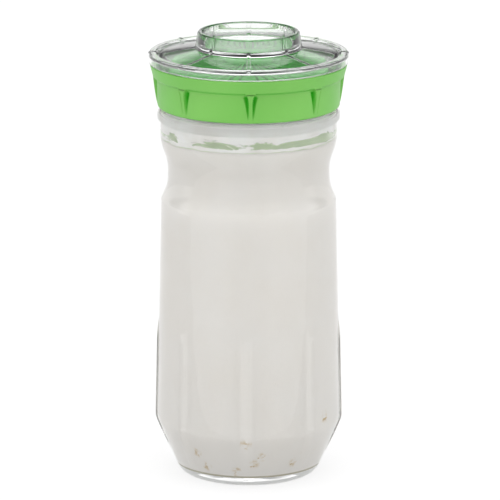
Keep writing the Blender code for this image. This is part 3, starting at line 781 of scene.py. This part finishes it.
def film_material(finishes):
    """Kefir that clings to the glass in level streaks: thick at its level, thin and wet over that. Its
    colours are the kefir lightened with painted light.
    """
    material, tree, shader = new_material("kefir_film", IOR=1.35, Roughness=0.4)
    place = place_on(tree)
    height = upright(tree, place)
    level = add_node(tree, "Mapping", {"Vector": place, "Scale": (1.0, 1.0, 3.2)}).outputs["Vector"]
    streaks = noise_in(tree, level, scale=48.0, detail=4.0, Roughness=0.6, Distortion=0.6)

    thicker = ranged(tree, height, start=KEFIR_LEVEL + 2 * MM, end=KEFIR_LEVEL + 6 * MM,
                     low=-0.1, high=0.08, shape="SMOOTHSTEP")
    amount = combined(tree, "ADD", streaks, thicker)
    cover = ranged(tree, amount, start=0.36, end=0.48, low=0.42, shape="SMOOTHSTEP")
    uneven = combined(tree, "MULTIPLY", streaks, 8 * MM)
    shore = combined(tree, "SUBTRACT", height, uneven)
    lapped = ranged(tree, shore, start=KEFIR_LEVEL - 2.4 * MM, end=KEFIR_LEVEL - 3.2 * MM)
    alpha = combined(tree, "MAXIMUM", cover, lapped)

    # Painted light: the film's colours are lighter copies of the kefir's, and its thin parts take the
    # lightened top colour
    milky = mottled(tree, finishes.film, finishes.kefir, patches=60.0)
    thin = ranged(tree, alpha, start=0.8, end=0.5)
    finish(tree, shader, Base_Color=tinted(tree, thin, milky, finishes.top), Alpha=alpha)
    return material


def grain_material(finishes):
    material, tree, shader = new_material("kefir_grain", IOR=1.36)
    body = mottled(tree, finishes.grain, finishes.grain_pale, patches=900.0)
    finish(tree, shader, Base_Color=body, Roughness=smudges(tree, patches=700.0, clean=0.35, smudged=0.6))
    add_ripple(tree, shader, waves=800.0, grain=4000.0, grain_share=0.3, depth=0.1 * MM)
    return material


# Pieces

def on_wall_at(radius, wall):
    return np.abs(radius - wall) < NEAR


def glass_profile(glass):
    """The glass from its floor inside, over the rim and down to the hollow under its foot."""
    finish_low = glass_finish_low(glass)
    bead_low = finish_low - glass.bead_height
    bead_radius = glass.neck_radius + glass.bead_proud
    hollow = glass.foot_radius - glass.foot_ring
    outside = [
        (glass.finish_radius, RIM, glass.rim_fillet),
        (glass.finish_radius, finish_low, glass.bead_fillet / 2),
        (bead_radius, finish_low, glass.bead_fillet),
        (bead_radius, bead_low, glass.bead_fillet),
        (glass.neck_radius, bead_low, glass.bead_fillet / 2),
        *glass_outside(glass),
        (glass.foot_radius, 0.0, glass.foot_fillet),
        (hollow, 0.0, glass.push_up / 2),
        (hollow - glass.push_up, glass.push_up, glass.push_up / 2),
        (0.0, glass.push_up, 0),
    ]
    return divided(rounded(glass_inside(glass)[::-1] + outside), LID_LOW, RIM)


def make_glass_jar(glass, finishes):
    """The jar, with upright ribs and thread ridges outside and the slight waves of pressed glass inside."""
    finish_low = glass_finish_low(glass)
    ridge_low = LOWER_THREAD + ridge_drop(LOWER_RIDGE, LOWER_HOLLOW - glass.finish_radius)

    def push(radius, height, out, up, turn):
        beside = np.abs(from_nearest(turn, glass.rib_count, glass.rib_turn)) * radius / (glass.rib_width / 2)
        section = np.sqrt(np.clip(1 - beside ** RIB_FLATNESS, 0, 1))
        from_end = np.minimum(height - glass.rib_low, glass.rib_high - height)
        rise = np.sin(np.pi / 2 * np.clip(from_end / glass.rib_fade, 0, 1))
        on_body = (out > OUTER) & (radius > glass.foot_radius) & (height < RIM)
        rib = np.where(on_body, glass.rib_proud * rise * section, 0)
        on_finish = (out > STRAIGHT) & on_wall_at(radius, glass.finish_radius) & (height > finish_low)
        ridges = thread_ridges(turn, height, ridge_low, glass.ridge_span, glass.ridge)
        ridge = np.where(on_finish, ridges, 0)
        on_inside = (out < INNER) & (height < finish_low) & (height > 2 * glass.floor)
        waves = sum(np.sin(around * turn + per_metre * height) for around, per_metre in GLASS_WAVES)
        ripple = np.where(on_inside, glass.ripple * waves / len(GLASS_WAVES), 0)
        moved = rib + ridge + ripple
        return moved * out, moved * up, np.zeros_like(height)

    turns = turns_near(
        max(glass.rib_count, 1), reach=5.0, fine=0.4, coarse=1.9, offset=math.degrees(glass.rib_turn))
    jar = turned("jar_glass", glass_profile(glass), turns, push)
    give(jar, glass_material(finishes), "jar", "glass", "glass_jar")


def wall_of_filling(glass, gap):
    return divided(rounded(glass_inside(glass, gap)), 0.0, glass.chamfer_height, FILLING_STEP)


def grain_places():
    """The middle of each grain in the frame, as (name, turn, height)."""
    names = sorted(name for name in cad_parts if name.startswith("kefir_grain_"))
    middles = [sum(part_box(name), Vector()) / 2 for name in names]
    return [(name, math.atan2(middle.y, middle.x), middle.z) for name, middle in zip(names, middles)]


def near_grains(turn, radius, height, reach):
    """1 at each grain, falling to 0 at a distance from it along the wall."""
    near = np.zeros_like(height)
    for _, grain_turn, grain_height in grain_places():
        aside = ((turn - grain_turn + math.pi) % math.tau - math.pi) * radius
        away = np.hypot(aside, height - grain_height)
        near = np.maximum(near, 1 - smooth_step(STAIN_CORE * reach, reach, away))
    return near


def noise_over(across, along, layer, scale):
    """Soft noise at each place, read from one layer of it, with a scale in waves per metre."""
    return np.vectorize(lambda x, y: noise.noise(Vector((x, y, layer)) * scale))(across, along)


def make_kefir(glass, filling, finishes):
    """The kefir: it fills the glass up to its level; its top is uneven and its edge clings to the wall."""
    wall = wall_of_filling(glass, -filling.overlap)
    edge = radius_at(wall, KEFIR_LEVEL)
    side = [point for point in wall if point.y < KEFIR_LEVEL - filling.edge_wave]
    top = [Vector((edge * ring / TOP_RINGS, KEFIR_LEVEL)) for ring in range(TOP_RINGS + 1)]

    def swell_at(x, y):
        return noise.fractal(Vector((x, y, 0.0)) * SWELL_SCALE, *SWELL_OCTAVES)

    def push(radius, height, out, up, turn):
        across, along = radius * np.cos(turn), radius * np.sin(turn)
        near_edge = smooth_step(edge - filling.edge_width, edge, radius)
        open_top = filling.swell * np.vectorize(swell_at)(across, along)
        open_top = open_top + filling.curd * noise_over(across, along, layer=5.0, scale=CURD_SCALE)
        edge_wave = filling.edge_wave * noise_over(across, along, layer=9.0, scale=EDGE_SCALE)
        rise = open_top * (1 - near_edge / 2) + edge_wave * near_edge
        on_top = height > KEFIR_LEVEL - NEAR
        dip = np.where(on_top, np.clip(rise - filling.sink, -TOP_DEPTH, 0), 0)
        stain = filling.stain_strength * near_grains(turn, radius, height, filling.stain)
        return np.zeros_like(height), dip, stain

    kefir = turned("kefir_filling", top + side, turns_near(8, reach=5.0, fine=0.7, coarse=0.8), push)
    give(kefir, kefir_material(finishes, glass.floor), "jar", "kefir", "kefir")


def make_film(glass, filling, finishes):
    """The thin film that the kefir left on the glass, from its level up to the lid."""
    wall = wall_of_filling(glass, -filling.overlap / 2)
    outside = [point for point in wall if KEFIR_LEVEL - filling.film_low < point.y < LID_LOW]
    inside = [point - Vector((filling.film, 0.0)) for point in reversed(outside)]
    film = turned("kefir_film", outside + inside, RING_TURNS, ring=True)
    give(film, film_material(finishes), "jar", "kefir")


def add_lump(shape, wall, size, turn, height, press, offset):
    """Adds an uneven lump to a grain's shape, pressed flat against the wall of the glass."""
    reach = min(radius_at(wall, height + size * level) for level in LUMP_LEVELS)
    made = bmesh.ops.create_icosphere(shape, subdivisions=4, radius=size)["verts"]
    for vert in made:
        vert.co *= 1 + LUMP_UNEVEN * noise.noise(vert.co / size * LUMP_WAVES + offset)
        vert.co = vert.co * LUMP_PRESSED
    stand = max(vert.co.x for vert in made)
    bmesh.ops.translate(shape, verts=made, vec=(reach + press - stand, 0.0, height))
    bmesh.ops.rotate(shape, verts=made, matrix=Matrix.Rotation(turn, 3, "Z"))


def mesh_object(name, shape):
    """An object of its own from a bmesh, which is freed."""
    mesh = bpy.data.meshes.new(name)
    shape.to_mesh(mesh)
    shape.free()
    obj = bpy.data.objects.new(name, mesh)
    bpy.context.scene.collection.objects.link(obj)
    return obj


def make_grains(glass, filling, finishes):
    """The grains: small clusters of soft lumps."""
    material = grain_material(finishes)
    wall = wall_of_filling(glass, -filling.overlap)
    chance = random.Random(filling.seed)
    for name, grain_turn, grain_height in grain_places():
        shape = bmesh.new()
        for _ in range(chance.randint(*LUMPS)):
            size = filling.lump * chance.uniform(*LUMP_SHARE)
            turn = grain_turn + chance.uniform(-LUMP_ASIDE, LUMP_ASIDE) / glass.body_radius
            height = max(grain_height + chance.uniform(-LUMP_CLIMB, LUMP_CLIMB), glass.floor + size)
            offset = Vector([chance.uniform(0, LUMP_SPREAD) for _ in range(3)])
            add_lump(shape, wall, size, turn, height, filling.press, offset)
        cluster = mesh_object(name + "_lumps", shape)
        cluster.data.shade_smooth()
        give(cluster, material, "jar", "grain", name)


def make_seal(node, body, slot, finishes):
    """A flat ring of silicone with soft edges, the size of the frame's own."""
    low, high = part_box(node)
    inner = min(Vector(vert.co.xy).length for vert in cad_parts[node].data.vertices)
    fillet = (high.z - low.z) / 3
    corners = [
        (high.x, high.z, fillet),
        (high.x, low.z, fillet),
        (inner, low.z, fillet),
        (inner, high.z, fillet),
    ]
    seal = turned(node + "_ring", rounded(corners), RING_TURNS, ring=True)
    give(seal, silicone_material(slot, finishes), body, slot, node)


def lid_corners(lid, socket, band_foot, band_low, wall_radius, strainer_foot):
    """The lid from the middle of its raised strainer, over the band and up again in its hollow."""
    strainer_low = PLATE_LOW + lid.strainer_rise
    strainer_high = PLATE_HIGH + lid.strainer_rise
    fillet = lid.foot_fillet
    return [
        (0.0, strainer_high, 0),
        (lid.strainer_radius, strainer_high, fillet),
        (strainer_foot, PLATE_HIGH, fillet),
        (socket, PLATE_HIGH, fillet / 2),
        (socket, LID_HIGH, fillet / 3),
        (BAND_RADIUS, LID_HIGH, fillet / 2),
        (band_foot, band_low, lid.band_fillet),
        (wall_radius + lid.draft, band_low - lid.band_ledge, lid.band_fillet),
        (wall_radius, LID_LOW, fillet),
        (lid.inner_radius, LID_LOW, fillet / 3),
        (lid.inner_radius, PLATE_LOW, fillet / 3),
        (strainer_foot - PLATE, PLATE_LOW, fillet / 3),
        (lid.strainer_radius - PLATE, strainer_low, fillet / 3),
        (0.0, strainer_low, 0),
    ]


def make_strainer_lid(lid, finishes):
    """The green lid: band, recessed wall with gussets, threads for glass and cover, and raised strainer."""
    socket = lid.inner_radius + lid.socket_step
    band_foot = socket + lid.band_wall
    band_low = LID_HIGH - lid.band_height
    wall_radius = lid.inner_radius + lid.wall
    strainer_foot = lid.strainer_radius + lid.strainer_slope
    corners = lid_corners(lid, socket, band_foot, band_low, wall_radius, strainer_foot)
    profile = divided(rounded(corners), LID_LOW, LID_HIGH, 2 * THREAD_STEP)
    upper_low = UPPER_THREAD + ridge_drop(UPPER_RIDGE, socket - UPPER_SKIRT)
    gusset_foot = LID_LOW + lid.gusset_low

    def push(radius, height, out, up, turn):
        # A gusset widens late on its way up and leans out early, and a groove runs up each side of it
        side = np.abs(from_nearest(turn, lid.gusset_count, lid.gusset_turn)) * radius
        climb = np.clip((height - gusset_foot) / (band_low - gusset_foot), 0, 1)
        half_width = (lid.gusset_foot + (lid.gusset_top - lid.gusset_foot) * climb ** GUSSET_WIDENING) / 2
        flank_end = half_width + lid.gusset_flank
        beside = smooth_step(half_width, flank_end, side)
        face = wall_radius + (band_foot - wall_radius) * climb ** GUSSET_LEAN
        gusset = np.clip(face - radius, 0, None) * (1 - beside)
        fading = 1 - smooth_step(0, lid.groove_width * climb + GROOVE_START, side - flank_end)
        under_band = 1 - smooth_step(PLATE_LOW + PLATE / 3, PLATE_HIGH - SEAT_GAP, height)
        groove = beside * fading * np.minimum(climb * GROOVE_DEEPENING, 1) * under_band
        outside = radius > wall_radius - WELL_INSIDE
        on_wall = outside & (height > gusset_foot) & (height < band_low + lid.band_fillet)
        groove = np.where(on_wall, groove, 0)
        moved = np.where(on_wall, gusset, 0) - lid.groove_depth * groove

        looks_in = (out < -STRAIGHT) & (radius > strainer_foot)
        lower = thread_ridges(turn, height, LOWER_THREAD, lid.lower_span, lid.lower_ridge)
        upper = thread_ridges(turn, height, upper_low, lid.upper_span, lid.upper_ridge)
        ridge = np.where(looks_in & (height < PLATE_LOW), lower, 0)
        ridge = ridge + np.where(looks_in & (height > PLATE_HIGH), upper, 0)
        # The groove also goes out as the mark, by which the material paints shade into it
        return moved + ridge * out, ridge * up, groove

    turns = turns_near(
        max(lid.gusset_count, 1), reach=6.0, fine=0.25, coarse=1.8, offset=math.degrees(lid.gusset_turn))
    piece = turned("green_strainer_lid", profile, turns, push)
    cut_slots(piece, lid)
    give(piece, green_plastic_material(finishes), "lid", "green_plastic", "strainer_lid")
    piece.data.materials.append(green_strainer_material(finishes))
    for face in piece.data.polygons:
        over_plate = face.center.z > PLATE_HIGH - SEAT_GAP / 2
        inside = socket + SEAT_GAP / 2 if over_plate else lid.inner_radius + lid.lower_ridge
        face.material_index = int(face.center.xy.length < inside)


def slot_outline(lid):
    """The outline of a slot along X, with round ends."""
    half = lid.slot_width / 2
    outline = []
    for middle, start in ((lid.slot_outer - half, -90), (lid.slot_inner + half, 90)):
        for step in range(SLOT_END_STEPS + 1):
            turn = math.radians(start + 180 * step / SLOT_END_STEPS)
            outline.append((middle + half * math.cos(turn), half * math.sin(turn)))
    return outline


def cut_slots(piece, lid):
    """Cuts the strainer's radial slots; between two sectors of them one place is left whole."""
    shape = bmesh.new()
    outline = slot_outline(lid)
    low, high = PLATE_LOW - PLATE / 2, PLATE_HIGH + lid.strainer_rise + PLATE / 2
    places = lid.slot_sectors * (lid.slots + 1)
    for place in range(places):
        if place % (lid.slots + 1) == 0:
            continue
        turn = Matrix.Rotation(math.tau * place / places, 3, "Z")
        rows = [[shape.verts.new(turn @ Vector((x, y, z))) for x, y in outline] for z in (low, high)]
        shape.faces.new(rows[0][::-1])
        shape.faces.new(rows[1])
        for index in range(len(outline)):
            after = (index + 1) % len(outline)
            shape.faces.new((rows[0][index], rows[0][after], rows[1][after], rows[1][index]))
    cutter = mesh_object("slots", shape)
    cut = piece.modifiers.new("slots", "BOOLEAN")
    cut.operation = "DIFFERENCE"
    cut.object = cutter
    graph = bpy.context.evaluated_depsgraph_get()
    piece.data = bpy.data.meshes.new_from_object(piece.evaluated_get(graph))
    piece.modifiers.clear()
    piece.data.set_sharp_from_angle(angle=SHARP)
    bpy.data.objects.remove(cutter)


def cover_corners(cover, knob_foot, foot_radius, cup, floor):
    """The cover from the middle of its cup, over the knob and the rim, and back under the panel."""
    rim_high = COVER_LOW + cover.rim_height
    rim_under = rim_high - cover.rim_wall
    rim_inside = COVER_RIM_RADIUS - cover.rim_wall
    panel_edge = COVER_RIM_RADIUS - cover.rim_width
    panel_edge_high = rim_high - cover.rim_step
    skirt_inner = cover.skirt_radius - cover.skirt_wall
    corner = cover.rim_wall / 3
    return [
        (0.0, floor, 0),
        (cup, floor, cover.knob_fillet),
        (cup, KNOB_HIGH, cover.lip_fillet),
        (cover.knob_radius, KNOB_HIGH, cover.lip_fillet),
        (foot_radius, knob_foot, cover.knob_fillet),
        (panel_edge, panel_edge_high, cover.rim_step / 2),
        (panel_edge + cover.rim_step, rim_high, cover.rim_step / 2),
        (COVER_RIM_RADIUS, rim_high, cover.rim_fillet),
        (COVER_RIM_RADIUS, COVER_LOW, corner),
        (rim_inside, COVER_LOW, corner),
        (rim_inside, rim_under, corner),
        (cover.skirt_radius, rim_under, corner),
        (cover.skirt_radius, SKIRT_LOW, corner),
        (skirt_inner, SKIRT_LOW, corner),
        (skirt_inner, panel_edge_high - cover.panel, corner),
        (foot_radius, knob_foot - cover.panel, corner),
        (cup, floor - cover.cup_floor, corner),
        (0.0, floor - cover.cup_floor, 0),
    ]


def make_clear_cover(cover, finishes):
    """The clear cover: thin rim, sloping panel with spokes, threaded skirt and the cup-shaped knob."""
    knob_foot = COVER_LOW + cover.rim_height + cover.panel_rise
    foot_radius = cover.knob_radius + cover.knob_flare
    cup = cover.knob_radius - cover.knob_wall
    floor = KNOB_HIGH - cover.cup_depth
    corners = cover_corners(cover, knob_foot, foot_radius, cup, floor)
    profile = divided(rounded(corners), SKIRT_LOW, COVER_LOW, 2 * THREAD_STEP)

    def push(radius, height, out, up, turn):
        side = np.abs(from_nearest(turn, cover.spoke_count)) * radius / (cover.spoke_width / 2)
        section = np.sqrt(np.clip(1 - side ** 2, 0, 1))
        over_panel = (up > LEANING) & (radius > foot_radius - 2 * WELL_INSIDE) & (height > COVER_LOW)
        over_knob = (out > LEANING) & (radius > cover.knob_radius - BESIDE) & (height > knob_foot)
        in_cup = (out < -LEANING) & (radius < cup + BESIDE) & (height > floor)
        spoke = cover.spoke_proud * section * (over_panel + (over_knob | in_cup) / 2)
        on_skirt = (out > STRAIGHT) & on_wall_at(radius, cover.skirt_radius) & (height < COVER_LOW)
        ridges = thread_ridges(turn, height, UPPER_THREAD, cover.ridge_span, cover.ridge)
        moved = spoke + np.where(on_skirt, ridges, 0)
        frosted = (height < COVER_LOW + NEAR) & (radius > cover.skirt_radius + cover.ridge)
        return moved * out, moved * up, frosted.astype(float)

    turns = turns_near(max(cover.spoke_count, 1), reach=3.6, fine=0.2, coarse=1.8)
    piece = turned("clear_screw_cover", profile, turns, push)
    give(piece, clear_plastic_material(finishes), "cover", "clear_plastic", "clear_cover")


# Stage

def soft_band(tree, value, low, high, soft):
    """1 between two values and 0 outside them, with soft edges."""
    rise = ranged(tree, value, start=low, end=low + soft, shape="SMOOTHSTEP")
    fall = ranged(tree, value, start=high, end=high - soft, shape="SMOOTHSTEP")
    return combined(tree, "MULTIPLY", rise, fall)


def lights_of(stage):
    """Each light as (strength, (nearest turn, farthest turn, edge), (lowest, highest, edge)), in angles from
    the camera and over the horizon."""
    soft, sharp = stage.edge, stage.backdrop_edge
    all_round = (-soft, math.pi + soft, soft)
    behind = (stage.backdrop_near, math.pi + soft, soft)
    straight_behind = (math.pi - stage.card_half, math.pi + soft, stage.card_half / 2)
    beside = (stage.box_low, stage.box_high, sharp)
    return (
        (stage.box, (stage.box_near, stage.box_far, soft), beside),
        (stage.fill, (-soft, stage.fill_far, soft), beside),
        (1.0, behind, (-math.pi, stage.flag_low + sharp, sharp)),
        (1.0, behind, (stage.flag_high - sharp, stage.backdrop_high, sharp)),
        (1.0, straight_behind, (stage.flag_low, stage.flag_high, sharp)),
        (stage.top, all_round, (stage.top_low, math.pi, soft)),
    )


def make_world(stage):
    """A soft box on each side and one overhead, a white backdrop with a dark flag before it, and a dim room.
    The camera itself sees white all round."""
    world = bpy.data.worlds.new("studio")
    bpy.context.scene.world = world
    world.use_nodes = True
    tree = world.node_tree
    tree.nodes.clear()
    direction = add_node(tree, "TexCoord").outputs["Generated"]
    parts = add_node(tree, "SeparateXYZ", {"Vector": direction}).outputs
    height = combined(tree, "ARCSINE", parts["Z"])
    aside = combined(tree, "ABSOLUTE", parts["X"])
    turn = combined(tree, "ARCTAN2", aside, combined(tree, "MULTIPLY", parts["Y"], -1.0))
    strength = stage.room
    for power, level, upright_range in lights_of(stage):
        patch = combined(
            tree, "MULTIPLY", soft_band(tree, turn, *level), soft_band(tree, height, *upright_range))
        strength = combined(tree, "ADD", strength, combined(tree, "MULTIPLY", patch, power))
    room = add_node(tree, "Background", {"Color": WHITE, "Strength": strength})
    backdrop = add_node(tree, "Background", {"Color": WHITE, "Strength": 1.0})
    camera = add_node(tree, "LightPath").outputs["Is Camera Ray"]
    mixed = add_node(tree, "MixShader", {"Fac": camera, 1: room.outputs[0], 2: backdrop.outputs[0]})
    add_node(tree, "OutputWorld", {"Surface": mixed.outputs[0]})


def plain_grey(part):
    return (part, part, part, 1.0)


def sheet_material(stage):
    """White paper that keeps the jar's soft shadow; glass and gloss see it as the camera does."""
    material = bpy.data.materials.new("white_sheet")
    material.use_nodes = True
    tree = material.node_tree
    tree.nodes.clear()
    paths = add_node(tree, "LightPath").outputs
    seen = combined(tree, "MAXIMUM", paths["Is Camera Ray"], paths["Is Glossy Ray"])
    seen = combined(tree, "MAXIMUM", seen, paths["Is Transmission Ray"])
    shaded = add_node(tree, "BsdfDiffuse", {"Color": plain_grey(stage.sheet_shade)})
    glow = add_node(tree, "Emission", {"Color": WHITE, "Strength": stage.sheet_glow})
    both = add_node(tree, "AddShader", {0: shaded.outputs[0], 1: glow.outputs[0]})
    paper = add_node(tree, "BsdfDiffuse", {"Color": plain_grey(stage.sheet_paper)})
    mixed = add_node(tree, "MixShader", {"Fac": seen, 1: paper.outputs[0], 2: both.outputs[0]})
    add_node(tree, "OutputMaterial", {"Surface": mixed.outputs[0]})
    return material


def make_sheet(stage):
    mesh = bpy.data.meshes.new("floor")
    half, front, back = stage.sheet_width, -stage.sheet_front, stage.sheet_back
    low = -stage.sheet_drop
    corners = [(-half, front, low), (half, front, low), (half, back, low), (-half, back, low)]
    mesh.from_pydata(corners, [], [(0, 1, 2, 3)])
    mesh.materials.append(sheet_material(stage))
    sheet = bpy.data.objects.new("floor", mesh)
    bpy.context.scene.collection.objects.link(sheet)


def make_camera(stage):
    data = bpy.data.cameras.new("camera")
    data.lens = stage.lens
    data.sensor_width = SENSOR
    camera = bpy.data.objects.new("camera", data)
    camera.location = (0.0, -stage.camera_distance, stage.camera_height)
    camera.rotation_euler = (math.pi / 2 - stage.camera_pitch, 0.0, stage.camera_yaw)
    bpy.context.scene.collection.objects.link(camera)
    bpy.context.scene.camera = camera


# Operators

class KEFIR_JAR_OT_stage(bpy.types.Operator):
    """Make the camera, the floor and the light"""

    bl_idname = "kefir_jar.stage"
    bl_label = "Stage"

    def execute(self, context):
        stage = context.scene.kefir_jar_stage
        make_camera(stage)
        make_sheet(stage)
        make_world(stage)
        context.scene.view_settings.view_transform = "Standard"
        return {"FINISHED"}


class KEFIR_JAR_OT_glass(bpy.types.Operator):
    """Make the pressed glass jar"""

    bl_idname = "kefir_jar.glass"
    bl_label = "Glass jar"

    def execute(self, context):
        make_glass_jar(context.scene.kefir_jar_glass, context.scene.kefir_jar_finishes)
        return {"FINISHED"}


class KEFIR_JAR_OT_filling(bpy.types.Operator):
    """Make the kefir and the grains that lie in it"""

    bl_idname = "kefir_jar.filling"
    bl_label = "Kefir and grains"

    def execute(self, context):
        scene = context.scene
        for make in (make_kefir, make_film, make_grains):
            make(scene.kefir_jar_glass, scene.kefir_jar_filling, scene.kefir_jar_finishes)
        return {"FINISHED"}


class KEFIR_JAR_OT_seals(bpy.types.Operator):
    """Make the two silicone seals"""

    bl_idname = "kefir_jar.seals"
    bl_label = "Seals"

    def execute(self, context):
        finishes = context.scene.kefir_jar_finishes
        make_seal("jar_seal", "jar_gasket", "jar_silicone", finishes)
        make_seal("cover_seal", "cover_gasket", "cover_silicone", finishes)
        return {"FINISHED"}


class KEFIR_JAR_OT_lid(bpy.types.Operator):
    """Make the green lid with its strainer"""

    bl_idname = "kefir_jar.lid"
    bl_label = "Strainer lid"

    def execute(self, context):
        make_strainer_lid(context.scene.kefir_jar_lid, context.scene.kefir_jar_finishes)
        return {"FINISHED"}


class KEFIR_JAR_OT_cover(bpy.types.Operator):
    """Make the clear screw cover"""

    bl_idname = "kefir_jar.cover"
    bl_label = "Clear cover"

    def execute(self, context):
        make_clear_cover(context.scene.kefir_jar_cover, context.scene.kefir_jar_finishes)
        return {"FINISHED"}


OPERATORS = (
    KEFIR_JAR_OT_stage,
    KEFIR_JAR_OT_glass,
    KEFIR_JAR_OT_filling,
    KEFIR_JAR_OT_seals,
    KEFIR_JAR_OT_lid,
    KEFIR_JAR_OT_cover,
)


class KEFIR_JAR_PT_panel(bpy.types.Panel):
    """Lists the pieces and their sizes"""

    bl_idname = "KEFIR_JAR_PT_panel"
    bl_label = "Kefir Jar"
    bl_space_type = "VIEW_3D"
    bl_region_type = "UI"
    bl_category = "Kefir Jar"

    def draw(self, context):
        for operator in OPERATORS:
            self.layout.operator(operator.bl_idname)
        for name, group in GROUPS.items():
            box = self.layout.box()
            box.label(text=group.__doc__)
            for key in group.__annotations__:
                box.prop(getattr(context.scene, name), key)


CLASSES = (*GROUPS.values(), *OPERATORS, KEFIR_JAR_PT_panel)


def register():
    for cls in CLASSES:
        bpy.utils.register_class(cls)
    for name, group in GROUPS.items():
        setattr(bpy.types.Scene, name, PointerProperty(type=group))


def unregister():
    for name in GROUPS:
        delattr(bpy.types.Scene, name)
    for cls in reversed(CLASSES):
        bpy.utils.unregister_class(cls)


def main():
    register()
    bpy.ops.kefir_jar.stage()
    bpy.ops.kefir_jar.glass()
    bpy.ops.kefir_jar.filling()
    bpy.ops.kefir_jar.seals()
    bpy.ops.kefir_jar.lid()
    bpy.ops.kefir_jar.cover()


if __name__ == "__main__":
    main()
